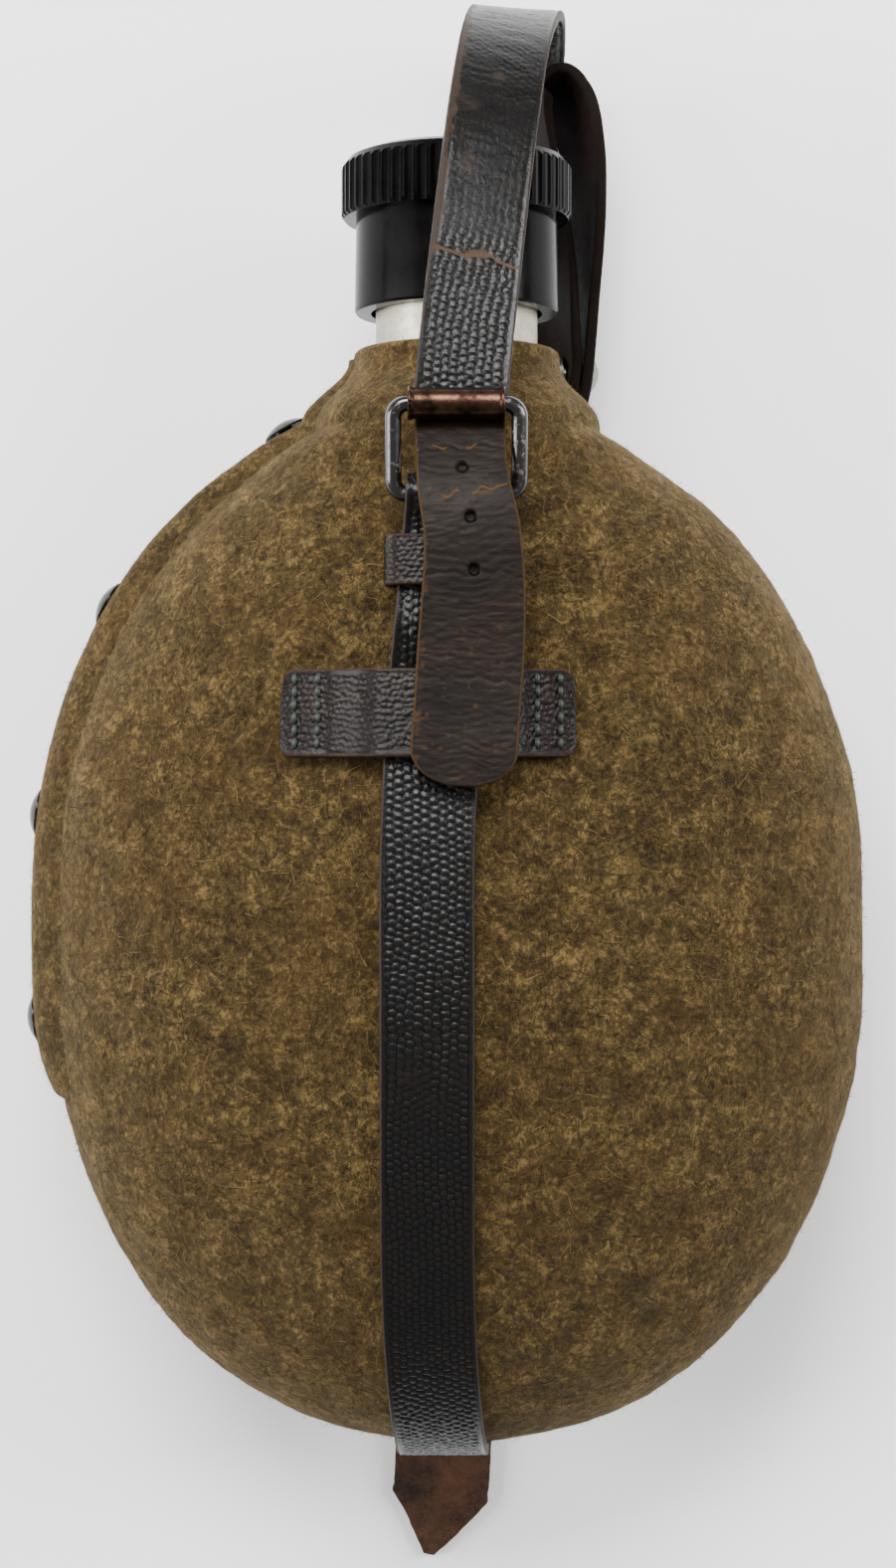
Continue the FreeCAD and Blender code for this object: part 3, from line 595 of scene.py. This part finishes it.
def make_fibres(name, points, normals, material, count, keep=None):
    """Single wool fibres lying on a grid of surface points: thin curled ribbons. keep is the share
    of them that each place holds."""
    steps = 5
    a, b, c = points[:-1, :-1], points[1:, :-1], points[:-1, 1:]
    area = np.linalg.norm(np.cross(b - a, c - a), axis=-1)
    if keep is not None:
        area = area * keep[:-1, :-1]
    chance = (area / area.sum()).ravel()
    pick = rng.choice(chance.size, count, p=chance)
    row, column = np.divmod(pick, area.shape[1])
    s, t = rng.random((2, count, 1))
    base = a[row, column] + (b - a)[row, column] * s + (c - a)[row, column] * t
    up = normals[:-1, :-1][row, column]
    heading = unit(np.cross(up, rng.normal(size=(count, 3))))
    side = np.cross(up, heading)
    length = rng.uniform(1.2, 5.5, (count, 1))
    curl = rng.normal(0.0, 0.22, (count, 1))
    rise = np.abs(rng.normal(0.0, 0.16, (count, 1))) + 0.05
    loose = rng.random((count, 1)) < 0.08
    rise = np.where(loose, rise + rng.uniform(0.2, 0.9, (count, 1)), rise)
    half = rng.uniform(0.028, 0.06, (count, 1))
    rails = []
    for k in np.linspace(0.0, 1.0, steps):
        at = base + heading * length * k + side * curl * length * k * k
        at = at + up * (rise * math.sin(math.pi * k) - 0.04)
        width = half * (1.0 - 0.75 * k)
        rails += [at - side * width, at + side * width]
    points = np.stack(rails, 1).reshape(-1, 3)
    start = (np.arange(count) * 2 * steps)[:, None, None]
    quads = np.array([[2 * i, 2 * i + 1, 2 * i + 3, 2 * i + 2] for i in range(steps - 1)])[None]
    faces = (start + quads).reshape(-1, 4)
    tone = rng.beta(2.0, 2.4, count)
    tones = {"tone": np.repeat(tone, 2 * steps)}
    return mesh_piece(name, points, faces.tolist(), material, None, None, tones)


# ---------------------------------------------------------------- leather bands

def pebbles(u, v, size_u, size_v, seed, jitter=0.45):
    """Embossed grain at places (u, v) across and along a strap: rounded cells, 1 on a crown and
    0 in a groove, in rows that wander."""
    drift = (noise_at(u, v, 22.0, seed) - 0.5) * 5.0
    uu = (u + drift * 0.6) / size_u
    vv = v / size_v + drift * 0.25
    ci, cj = np.floor(uu), np.floor(vv)
    near = np.full(u.shape, 9.0)
    second = np.full(u.shape, 9.0)
    for di in (-1, 0, 1):
        for dj in (-1, 0, 1):
            i, j = ci + di, cj + dj
            key = (i.astype(np.int64) * 374761393 + j.astype(np.int64) * 668265263 + seed * 97)
            key = (key ^ (key >> 13)) * 1274126177
            jitter_u = ((key ^ (key >> 16)) & 1023) / 1023.0 - 0.5
            jitter_v = (((key ^ (key >> 16)) >> 10) & 1023) / 1023.0 - 0.5
            pu = i + 0.5 + jitter_u * jitter + 0.0 * u
            pv = j + 0.5 + 0.5 * (np.mod(i, 2) - 0.5) + jitter_v * jitter
            d = np.hypot(uu - pu, vv - pv)
            second = np.minimum(second, np.maximum(near, d))
            near = np.minimum(near, d)
    return smoothstep(0.02, 0.42, second - near)


def band(name, centre, across, width, thick, material, body, node, relief_top=None, relief_under=None,
         depth=0.2, step_u=0.42, edge=0.5, wear=None, pressed=0.0):
    """A leather band with rounded edges. Its top faces across x along. Each relief gives the grain,
    0 to 1, at (u, v) in millimetres from the middle line and from the band's start. wear gives how
    far the finish is rubbed through, and pressed is the depth of the line along each edge."""
    stations = len(centre)
    v = np.concatenate([[0.0], np.cumsum(np.linalg.norm(np.diff(centre, axis=0), axis=1))])
    along = unit(np.gradient(centre, axis=0))
    across = unit(across - along * (across * along).sum(-1, keepdims=True))
    up = np.cross(across, along)
    half = np.broadcast_to(np.asarray(width, float) / 2.0, (stations,))
    columns = max(8, int(round(2.0 * half.max() / step_u)))
    flat = np.linspace(-1.0, 1.0, columns)
    r = min(edge, thick / 2.0 - 0.01)
    curve = np.radians([22.5, 45.0, 67.5])
    inner = (half - r)[:, None]
    top_u = inner * flat
    right_u = np.concatenate([inner + r * np.sin(curve), inner + r, inner + r,
                              inner + r * np.sin(curve[::-1])], 1)
    right_h = np.concatenate([thick / 2 - r + r * np.cos(curve), [thick / 2 - r, -thick / 2 + r],
                              -thick / 2 + r - r * np.cos(curve[::-1])])
    u = np.concatenate([top_u, right_u, top_u[:, ::-1], -right_u], 1)
    h_row = np.concatenate([np.full(columns, thick / 2), right_h, np.full(columns, -thick / 2), -right_h])
    h = np.broadcast_to(h_row, u.shape).copy()
    vv = np.broadcast_to(v[:, None], u.shape)
    grain = np.full(u.shape, 0.6)
    rim = np.zeros(u.shape)
    sides = len(right_h)
    spans = {"top": slice(0, columns), "right": slice(columns, columns + sides),
             "under": slice(columns + sides, 2 * columns + sides), "left": slice(2 * columns + sides, None)}
    # The grain sinks into the surface, and fades into a pressed line along each edge.
    for key, relief, sign in (("top", relief_top, 1.0), ("under", relief_under, -1.0)):
        span = spans[key]
        if relief is None:
            continue
        value = relief(u[:, span], vv[:, span])
        from_edge = half[:, None] - np.abs(u[:, span])
        if pressed:
            groove = np.exp(-((from_edge - 1.15) / 0.22) ** 2)
            value = np.where(from_edge < 1.1, 0.75, value)
            value = value * (1.0 - pressed * groove)
        grain[:, span] = value
        h[:, span] -= sign * (1.0 - value) * depth
    for key in ("right", "left"):
        rim[:, spans[key]] = 1.0
        rough = noise_at(vv[:, spans[key]], h[:, spans[key]], 0.9, 8) - 0.5
        u[:, spans[key]] *= 1.0 + 0.012 * rough
    points = centre[:, None] + across[:, None] * u[..., None] + up[:, None] * h[..., None]
    count = u.shape[1]
    faces = grid_faces(stations, count, flip=True).tolist()
    # Each end is closed with strips between the two faces.
    for row, flip in ((0, False), (stations - 1, True)):
        base = row * count
        top = [base + count - 1 - k for k in range(sides // 2)][::-1] + [base + k for k in range(columns)]
        top += [base + columns + k for k in range(sides // 2)]
        low = [base + 2 * columns + sides + k for k in range(sides - sides // 2)][::-1]
        low += [base + 2 * columns + sides - 1 - k for k in range(columns)]
        low += [base + columns + sides - 1 - k for k in range(sides - sides // 2)]
        for a, b, c, d in zip(top[:-1], top[1:], low[1:], low[:-1]):
            quad = [a, b, c, d]
            faces.append(quad[::-1] if flip else quad)
    rubbed = wear(u, vv) if wear else np.zeros(u.shape)
    # relief also sets the leather's colour: its low places get painted shade.
    extra = {"relief": grain, "rim": rim, "wear": rubbed}
    return mesh_piece(name, points.reshape(-1, 3), faces, material, body, node, extra)


def stitches(name, runs, radius, body, node):
    """Thread: each run is a start, an end and a count, and each stitch is a plump bar that dips at
    both ends. up is the direction out of the leather."""
    points, faces = [], []
    rings, sides = 7, 8
    for start, end, count, up in runs:
        start, end, up = (np.array(a, float) for a in (start, end, up))
        step = (end - start) / count
        heading = unit(step)
        side = unit(np.cross(up, heading))
        for i in range(count):
            first = start + step * (i + 0.12) + side * rng.normal(0.0, 0.05)
            last = start + step * (i + 0.88) + side * rng.normal(0.0, 0.05)
            for k in range(rings):
                f = k / (rings - 1)
                r = radius * (0.55 + 0.45 * math.sin(math.pi * f))
                at = first + (last - first) * f + up * (0.5 * math.sin(math.pi * f) ** 0.7 - 0.25)
                for m in range(sides):
                    a = 2.0 * math.pi * m / sides
                    points.append(at + side * (r * math.cos(a)) + up * (r * math.sin(a)))
            base = len(points) - rings * sides
            faces += grid_faces(rings, sides, base).tolist()
            faces.append([base + m for m in range(sides)][::-1])
            faces.append([base + (rings - 1) * sides + m for m in range(sides)])
    piece = mesh_piece(name, points, faces, thread, body, node)
    return piece


# ---------------------------------------------------------------- the main strap

def lower_layer_z(y):
    """The middle height of the fixed strap's lower layer, which slopes down to the buckle."""
    return BAR_Z - BAR_R - LAYER_GAP - STRAP_T / 2.0 + (BAR_Y - y) * FOLD_SLOPE


def under_bottom(x, angle, lift):
    """A point round the bottle's bottom, from 0 degrees at the front to 180 at the back."""
    a = math.radians(angle)
    depth = FRONT_DEPTH if angle <= 90 else BACK_DEPTH
    c, s = math.cos(a), math.sin(a)
    reach = s ** (2.0 / LOW_POWER)
    rise = math.copysign(abs(c) ** (2.0 / LOW_POWER), c)
    out = unit(np.array([0.0, -s ** (2.0 - 2.0 / LOW_POWER) / BELOW,
                         math.copysign(abs(c) ** (2.0 - 2.0 / LOW_POWER), c) / depth]))
    return np.array([x, -BELOW * reach, AXIS_Z + depth * rise]) + out * lift


def main_route():
    """The strap's middle line, from its sewn-down end round the bar, down the front, round the
    bottom, up the back, over the cap and down to the roller."""
    lift = LAYER_GAP + STRAP_T / 2.0
    turn = BAR_R + 0.3 + STRAP_T / 2.0
    stack = STRAP_T + LAYER_GAP
    route = [(x, y, lower_layer_z(y)) for x, y in ((-2.9, 56.0), (-2.4, 63.0), (-1.4, 73.0))]
    for a in range(-90, 91, 30):
        r = math.radians(a)
        route.append((-0.8, BAR_Y + turn * math.cos(r), BAR_Z + turn * math.sin(r)))
    for x, y, more in ((-1.1, 76.5, 1.1), (-1.6, 71.5, 0.2), (-2.4, 62.0, 0.1), (-2.9, 57.0, 0.0),
                       (-3.3, 53.0, -1.0), (-3.8, 48.5, -2.1)):
        route.append((x, y, lower_layer_z(y) + stack + more))
    for x, y in ((-4.4, 41.0), (-5.0, 28.0), (FRONT_STRAP_X, 14.0)):
        route.append((x, y, float(surface_z(0.0, y)) + lift))
    for a in range(5, 176, 10):
        x = FRONT_STRAP_X + 3.3 * float(smoothstep(30.0, 95.0, a))
        x -= 0.8 * float(smoothstep(100.0, 180.0, a))
        route.append(under_bottom(x, a, lift + 0.15))
    back = AXIS_Z - BACK_DEPTH - lift
    under = ROLLER_Z - ROLLER_R - LAYER_GAP - STRAP_T / 2.0
    route += [(-3.0, 6, back), (-3.0, 30, back), (-2.6, 60, back + 0.2), (-1.2, 85, 4.6), (1.4, 110, 2.3),
              (5.0, 130, 1.6), (9.6, 152, 1.9), (12.6, 168, 2.75), (13.9, 177.6, 7.0), (14.0, 182.2, 16.6),
              (13.3, 183.2, 30.0), (11.5, 180.2, 45.0), (9.2, 170.6, 60.2), (6.6, 152.5, 72.4),
              (3.9, 130.0, 78.8), (2.0, 113.0, 81.5), (0.9, ROLLER_Y + 4.4, under),
              (0.5, ROLLER_Y + 0.6, under)]
    return route


def make_main_strap():
    centre, s = resample(main_route(), 0.38)
    share = s / s[-1]
    lean = np.sin(np.pi * np.clip((share - 0.74) / 0.26, 0.0, 1.0)) * math.radians(15.0)
    across = np.stack([np.cos(lean), 0.0 * lean, -np.sin(lean)], -1)
    total = s[-1]

    def grain(u, v):
        """Bold in front, finer round the bottom and up the back, and rubbed smooth over the cap."""
        bold = pebbles(u, v, 1.6, 1.5, 5)
        fine = pebbles(u, v, 1.35, 1.45, 9)
        creases = noise_at(u * 0.25, v, 0.9, 12)
        from_end = total - v
        smooth_part = 0.8 * smoothstep(28.0, 34.0, from_end) * smoothstep(150.0, 120.0, from_end)
        finer = smoothstep(122.0, 165.0, v) * smoothstep(30.0, 60.0, from_end)
        value = bold * (1.0 - finer) + fine * finer
        value = value * (1.0 - smooth_part) + (0.45 + 0.4 * creases) * smooth_part
        return value * (1.0 - cracks(u, v))

    def cracks(u, v):
        """The two places where the strap has cracked across."""
        wander = (noise_at(u, 0.0 * u, 2.4, 14) - 0.5) * 2.6
        front = 0.5 * np.exp(-((v - FRONT_CRACK - wander * 0.4) / 0.22) ** 2)
        gape = 0.35 + 0.5 * (np.abs(u) < 2.0)
        upper = np.exp(-((total - v - UPPER_CRACK - wander + 0.1 * u) / gape) ** 2)
        return np.clip(front + upper, 0.0, 1.0)

    def wear(u, v):
        from_end = total - v
        over_cap = smoothstep(30.0, 45.0, from_end) * smoothstep(150.0, 120.0, from_end)
        patches = smoothstep(0.55, 0.8, noise_at(u, v * 0.5, 3.5, 17))
        edge = smoothstep(6.9, 8.3, -u + 1.2 * noise_at(u, v, 1.5, 18))
        edge = edge * smoothstep(24.0, 28.0, from_end) * smoothstep(160.0, 130.0, from_end)
        return np.maximum(0.9 * cracks(u, v), np.maximum(0.3 * over_cap * patches, 0.42 * edge))

    def flesh(u, v):
        return 0.4 + 0.6 * noise_at(u, v, 1.1, 21)

    strap = band("main_strap_leather", centre, across, STRAP, STRAP_T, strap_leather, "canteen",
                 "main_strap", flesh, grain, depth=0.3, step_u=0.34, wear=wear, pressed=0.45)


def make_tail():
    """The strap's free end: it hangs from the roller down the front, punched and cracked."""
    away = ROLLER_R + LAYER_GAP + STRAP_T / 2.0 + 0.1
    start = [(0.5, ROLLER_Y + away * math.cos(a), ROLLER_Z - away * math.sin(a))
             for a in (math.radians(100), math.radians(112))]
    route = start + [(0.7, 88.6, 86.5), (1.3, 81.6, 89.5), (2.6, 74.5, 90.7), (3.0, 66.0, 90.9),
                     (2.5, 53.0, 91.1), (1.7, 41.0, 91.8), (1.2, 34.0, 92.5), (0.9, 27.5, 92.9)]
    centre, s = resample(route, 0.3)
    share = s / s[-1]
    flare = TAIL_FLARE * np.sin(np.minimum(1.0, share / 0.8) * np.pi / 2.0) ** 2
    into = np.clip((s - (s[-1] - 7.0)) / 7.0, 0.0, 1.0)
    width = (STRAP - 0.8 + flare) * np.sqrt(np.maximum(0.06, 1.0 - into ** 2.2))
    width = width + 0.5 * (noise_at(s, 0 * s, 9.0, 31) - 0.5)
    across = np.tile([1.0, 0.0, 0.0], (len(centre), 1))
    holes = [(s[np.argmin(np.abs(centre[:, 1] - y))], x - np.interp(-y, -centre[:, 1], centre[:, 0]))
             for x, y in TAIL_HOLES]
    cracks = [s[np.argmin(np.abs(centre[:, 1] - y))] for y in TAIL_CRACK_YS]

    def punched(u, v):
        value = np.ones(u.shape)
        for at, shift in holes:
            value = np.minimum(value, smoothstep(0.75, 1.3, np.hypot(v - at, u - shift)))
        return value

    def creases(u, v):
        wander = (noise_at(u, v, 5.0, 41) - 0.5) * 1.6
        lines = noise_at(u * 0.24, v + wander, 0.45, 42)
        cloud = noise_at(u, v, 3.0, 43)
        value = 0.35 + 0.65 * smoothstep(0.15, 0.75, lines * 0.75 + cloud * 0.25)
        for at in cracks:
            ragged = (noise_at(u, 0 * u + at, 1.6, 44) - 0.5) * 2.2
            value = value * (1.0 - 0.85 * np.exp(-((v - at - ragged) / 0.35) ** 2))
        return value

    # The creases are shallow; the holes sink to near the middle from both faces, and their floors take the
    # dark groove colour, painted shade for the open hole.
    def outside(u, v):
        return 1.0 - (1.0 - creases(u, v)) * 0.14 - (1.0 - punched(u, v))

    def wear(u, v):
        ragged = (noise_at(u, 0 * u, 1.6, 44) - 0.5) * 2.2
        broken = smoothstep(0.35, 0.6, noise_at(u, v, 2.2, 48))
        value = np.zeros(u.shape)
        for at in cracks[:2]:
            value = np.maximum(value, 0.6 * broken * np.exp(-((v - at - ragged) / 0.35) ** 2))
        streaks = noise_at(u * 0.35, v, 0.5, 46)
        flaking = smoothstep(s[-1] - 40.0, s[-1] - 26.0, v) * smoothstep(0.5, 0.95, streaks)
        left_edge = smoothstep(7.2, 8.6, -u) * broken
        return np.maximum(value, np.maximum(0.34 * flaking, 0.32 * left_edge))

    tail = band("strap_tail_leather", centre, across, width, STRAP_T, tail_leather, None, "strap_tail",
                punched, outside, depth=1.0, step_u=0.28, wear=wear)
    return tail


# ---------------------------------------------------------------- loops

def make_loop(node, y, centre_x, direction, held, over):
    """A sewn loop: a pebbled band across the straps, with rounded corners and four rows of
    stitches. direction is 1 at the front and -1 at the back."""
    half = LOOP_SPAN / 2.0
    hump = held / 2.0 + 2.2
    route = []

    def surface(x, y):
        return surface_z(x, y, direction)

    for dx in np.linspace(-half, half, 19):
        x = centre_x + dx
        flat = float(surface(x, y)) + direction * (0.4 + LOOP_T / 2.0)
        raised = 1.0 - float(smoothstep(hump - 2.5, hump + 7.5, abs(dx)))
        route.append((x, y, flat + (over - flat) * raised))
    centre, s = resample(route, 0.36)
    reach = LOOP_HEIGHT / 2.0
    slope = (surface(centre[:, 0], y + reach) - surface(centre[:, 0], y - reach)) / (2.0 * reach)
    across = np.stack([0.0 * slope, np.ones(len(slope)), slope], -1)
    from_end = np.minimum(s, s[-1] - s)
    corner = np.clip((LOOP_CORNER - from_end) / LOOP_CORNER, 0.0, 1.0)
    width = LOOP_HEIGHT - 2.0 * LOOP_CORNER * (1.0 - np.sqrt(np.maximum(0.0, 1.0 - corner ** 2)))

    def grain(u, v):
        return pebbles(u, v, 1.15, 1.1, 15, 0.8) * 0.8 + 0.2 * noise_at(u, v, 0.5, 16)

    # Along is +X and across is +Y here, so the band's top faces down.
    faces = {"relief_under": grain} if direction > 0 else {"relief_top": grain}
    loop = band(node + "_leather", centre, across, width, LOOP_T, loop_leather, "canteen", node,
                depth=0.2, step_u=0.3, pressed=0.4, **faces)
    runs = []
    for dx in STITCH_ROWS:
        x = centre_x + dx
        sideways = [1.0, 0.0, (float(surface(x + 1, y)) - float(surface(x - 1, y))) / 2.0]
        upward = [0.0, 1.0, float(np.interp(x, centre[:, 0], slope))]
        up = unit(np.cross(sideways, upward)) * direction
        middle = np.array([x, y, float(surface(x, y))]) + up * (0.4 + LOOP_T + 0.3)
        run = unit(np.array(upward)) * 7.2
        runs.append((middle - run, middle + run, 6, up))
    stitches(node + "_thread", runs, 0.52, "canteen", node + "_stitches")


def make_keeper():
    """The keeper: a rounded flat ring of pebbled leather."""
    centre_z = lower_layer_z(KEEPER_Y) + STRAP_T / 2.0 + 0.25
    wide, high = STRAP / 2.0 + 1.2 + LOOP_T / 2.0, 2.9 + LOOP_T / 2.0
    r = 2.0
    path = []
    for sx, sz, turn in ((1, 1, 0), (-1, 1, 90), (-1, -1, 180), (1, -1, 270)):
        for a in (0, 30, 60, 90):
            t = math.radians(turn + a)
            path.append((KEEPER_X + sx * (wide - r) + r * math.cos(t), KEEPER_Y,
                         centre_z + sz * (high - r) + r * math.sin(t)))
    path.append(path[0])
    centre, _ = resample(path, 0.36)
    across = np.tile([0.0, 1.0, -FOLD_SLOPE], (len(centre), 1))

    def grain(u, v):
        return pebbles(u, v, 0.95, 1.3, 25)

    keeper = band("keeper_leather", centre[:-1], across[:-1], KEEPER, LOOP_T, loop_leather, "keeper",
                  "keeper_loop", relief_top=grain, depth=0.22, step_u=0.34)


def make_fold_stitches():
    """The two rows of thread that close the strap's fold below the buckle."""
    runs = []
    up = unit(np.array([0.0, FOLD_SLOPE, 1.0]))
    for x in (-8.4, 3.2):
        ends = []
        for y in (54.6, 64.2):
            ends.append(np.array([x, y, lower_layer_z(y) + STRAP_T * 1.5 + LAYER_GAP]) + up * 0.1)
        runs.append((ends[0], ends[1], 4, up))
    stitches("strap_fold_thread", runs, 0.42, "canteen", "strap_fold_stitches")


# ---------------------------------------------------------------- back strap and hanger

def make_back_strap():
    """The hidden strap up the back, from the pointed tab below the bottle to the hanger, turned
    on edge where it meets that."""
    z0 = LOOP_T + 0.3 + BACK_STRAP_T / 2.0
    route = [(-2.9, -118.2, 1.85), (-2.6, -90, 2.6), (-3.0, -50, z0), (-3.0, -20, z0), (-3.0, 12, z0),
             (-1.5, 28, z0), (4.0, 46, z0), (11.5, 60, z0), (17.5, 72.0, 3.4), (19.8, 78.0, 5.8),
             (21.8, 84.0, 8.9), (23.4, 90.0, 10.2), (24.2, 95.0, 10.4), (24.8, 103.8, 10.4)]
    pointed = [(-5.8, -136.0, 1.05), (-4.6, -130.5, 1.25), (-3.6, -125.0, 1.5)]
    centre, s = resample(pointed + route, 0.5)
    at = np.argmin(np.abs(centre[:, 1] + 118.2))
    share = np.clip((s - s[at]) / (s[-1] - s[at]), 0.0, 1.0)
    twist = smoothstep(0.84, 0.97, share) * math.radians(86.0)
    across = np.stack([np.cos(twist), 0.0 * twist, np.sin(twist)], -1)
    width = BACK_STRAP - 0.7 - (BACK_STRAP - HANGER - 0.7) * np.maximum(0.0, (share - 0.6) / 0.4)
    width = width * (0.12 + 0.88 * np.clip(s / 12.6, 0.0, 1.0))
    ragged = smoothstep(24.0, 14.0, s) * 0.5
    width = width + ragged * (noise_at(s, 0 * s, 1.3, 53) - 0.5)

    def nap(u, v):
        return 0.5 + 0.5 * noise_at(u, v, 1.2, 51)

    strap = band("hanging_strap_leather", centre, across, width, BACK_STRAP_T, suede, None,
                 ["back_strap", "back_strap_tip"], nap, nap, depth=0.12, step_u=0.5)
    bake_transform(strap)


def make_hanger():
    """The hanger: a band on edge that goes up from the back strap, over and down again."""
    route = [(25.0, 104.0, 10.4), (26.2, 111.0, 10.8), (26.8, 128.0, 13.2), (27.0, 148.0, 15.3),
             (26.2, 160.0, 15.6), (24.0, 169.4, 15.6), (20.4, 173.6, 15.6), (16.6, 173.4, 15.6),
             (14.2, 168.8, 15.6), (13.6, 158.0, 15.5), (15.4, 143.0, 15.0), (18.8, 130.0, 14.2),
             (21.4, 121.0, 12.6), (23.1, 114.5, 11.2), (23.2, 109.5, 10.9)]
    centre, s = resample(route, 0.45)
    share = s / s[-1]
    lean = 4.0 + 20.0 * np.sin(np.pi * share) ** 1.6 + 52.0 * np.exp(-((share - 0.75) / 0.15) ** 2)
    lean = np.radians(lean)
    across = np.stack([np.sin(lean), 0.0 * lean, np.cos(lean)], -1)
    width = HANGER + 0.5 * (noise_at(s, 0 * s, 12.0, 61) - 0.5)

    def skin(u, v):
        wander = (noise_at(u, v, 5.0, 62) - 0.5) * 3.0
        return 0.35 + 0.65 * noise_at(u * 0.3, v + wander, 0.9, 63)

    loop = band("hanger_leather_loop", centre, across, width, HANGER_T, hanger_leather, "hanger",
                "hanger_loop", skin, skin, depth=0.16, step_u=0.45, edge=0.8)


# ---------------------------------------------------------------- buckle roller

def make_roller():
    """The roller: rolled sheet with a seam and a turned flange at each end."""
    half = [(-8.9, 1.62), (-8.9, 3.0), (-8.7, 3.12), (-8.35, 3.12), (-8.1, 2.9), (-7.6, 2.84), (-3.0, 2.88)]
    profile = half + [(0.0, 2.86)] + [(-x, r) for x, r in reversed(half)]
    turn = 48
    points = []
    for x, r in profile:
        for k in range(turn):
            a = 2.0 * math.pi * k / turn
            seam = 0.22 * math.exp(-((a - 2.2) / 0.07) ** 2) if abs(x) < 8.2 and r > 2.0 else 0.0
            points.append((ROLLER_X + x, ROLLER_Y + (r - seam) * math.cos(a),
                           ROLLER_Z + (r - seam) * math.sin(a)))
    faces = grid_faces(len(profile), turn, flip=True).tolist()
    last = (len(profile) - 1) * turn
    faces += [[k, (k + 1) % turn, last + (k + 1) % turn, last + k] for k in range(turn)]
    roller = mesh_piece("roller_shell", points, faces, roller_metal, "roller", "buckle_roller")


# ---------------------------------------------------------------- build

outer, normals = make_cover()
flap, flap_outer, flap_normals = make_flap()
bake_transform(flap)

# The cover has no loose fibres where the flap lies over it.
angles = np.linspace(0.0, 360.0, outer.shape[1], endpoint=False)[None, :] + 0.0 * outer[..., 0]
covered = (angles > FLAP_FRONT + 2) & (angles < FLAP_BACK) & (outer[..., 1] > FLAP_LOW_Y + 3)
bare = np.where(covered, 0.0, 1.0)
cover_fibres = make_fibres("cover_fibres", outer, normals, fibres, COVER_FIBRES, bare)
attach(cover_fibres, "canteen")
flap_fibres = make_fibres("flap_fibres", flap_outer, flap_normals, fibres, FLAP_FIBRES)
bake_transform(flap_fibres)

make_main_strap()
tail = make_tail()
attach(tail, "tail")
front_over = float(surface_z(0.0, FRONT_LOOP_Y)) + 2 * LAYER_GAP + STRAP_T + LOOP_T / 2.0 + 0.5
make_loop("front_loop", FRONT_LOOP_Y, FRONT_LOOP_X, 1, STRAP, front_over)
make_loop("back_loop", BACK_LOOP_Y, BACK_LOOP_X, -1, BACK_STRAP, LOOP_T / 2.0)
make_keeper()
make_fold_stitches()
make_back_strap()
make_hanger()
make_roller()

# These pieces keep their CAD shapes and get only a material.
finishes = {
    "bottle": aluminium, "cap_shell": bakelite, "cap_rivet": cap_rivet_metal, "seal_retainer": seal_metal,
    "cap_seal": rubber, "press_stud_caps": stud_enamel, "press_stud_sockets": stud_brass,
    "press_stud_posts": stud_brass, "buckle_frame": buckle_enamel, "buckle_prong": steel,
    "back_strap_rivets": steel, "hanger_rivet": green_steel,
}
for node, material in finishes.items():
    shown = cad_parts[node]
    shown.data.materials.clear()
    shown.data.materials.append(material)


# ---------------------------------------------------------------- table, light and camera

def table():
    """A plain pale table top, wide enough that its edge is out of sight."""
    material, shader = new_material("table_white")
    w = Weaver(material, shader)
    cloud = w.noise(0.004, 3.0, 0.5)
    colour = w.ramp(cloud, (0.3, (0.92, 0.92, 0.92)), (0.7, (0.95, 0.95, 0.95)))
    w.finish(colour, 0.6, Specular_IOR_Level=0.2)
    mesh = bpy.data.meshes.new("table")
    corners = [(TABLE_REACH * sx, TABLE_REACH * sy, 0) for sx, sy in ((-1, -1), (1, -1), (1, 1), (-1, 1))]
    mesh.from_pydata(corners, [], [(0, 1, 2, 3)])
    mesh.materials.append(material)
    top = bpy.data.objects.new("table", mesh)
    top.location.z = TABLE_Z
    bpy.context.scene.collection.objects.link(top)
    return top


def area_light(name, place, size, watts):
    """A soft rectangular light that faces the canteen."""
    lamp = bpy.data.lights.new(name, "AREA")
    lamp.shape = "RECTANGLE"
    lamp.size, lamp.size_y = size
    lamp.energy = watts
    holder = bpy.data.objects.new(name, lamp)
    holder.location = place
    direction = np.array(LIT_POINT) - np.array(place)
    holder.rotation_euler = Vector(direction).to_track_quat("-Z", "Y").to_euler()
    bpy.context.scene.collection.objects.link(holder)


table()
area_light("softbox_top", (-0.2, 0.8, 1.1), TOP_BOX, TOP_WATTS)
area_light("softbox_left", (-1.15, 0.1, 0.55), SIDE_BOX, SIDE_WATTS)
area_light("softbox_right", (1.1, 0.35, 0.75), SIDE_BOX, SIDE_WATTS)
world = bpy.data.worlds.new("studio")
world.use_nodes = True
background = world.node_tree.nodes["Background"]
background.inputs["Color"].default_value = (1.0, 1.0, 1.0, 1.0)
background.inputs["Strength"].default_value = WORLD_STRENGTH
bpy.context.scene.world = world

camera = bpy.data.cameras.new("camera")
camera.lens = CAMERA_LENS
camera.sensor_width = CAMERA_SENSOR
camera.clip_start = 0.01
holder = bpy.data.objects.new("camera", camera)
holder.location = CAMERA_AT
bpy.context.scene.collection.objects.link(holder)
bpy.context.scene.camera = holder
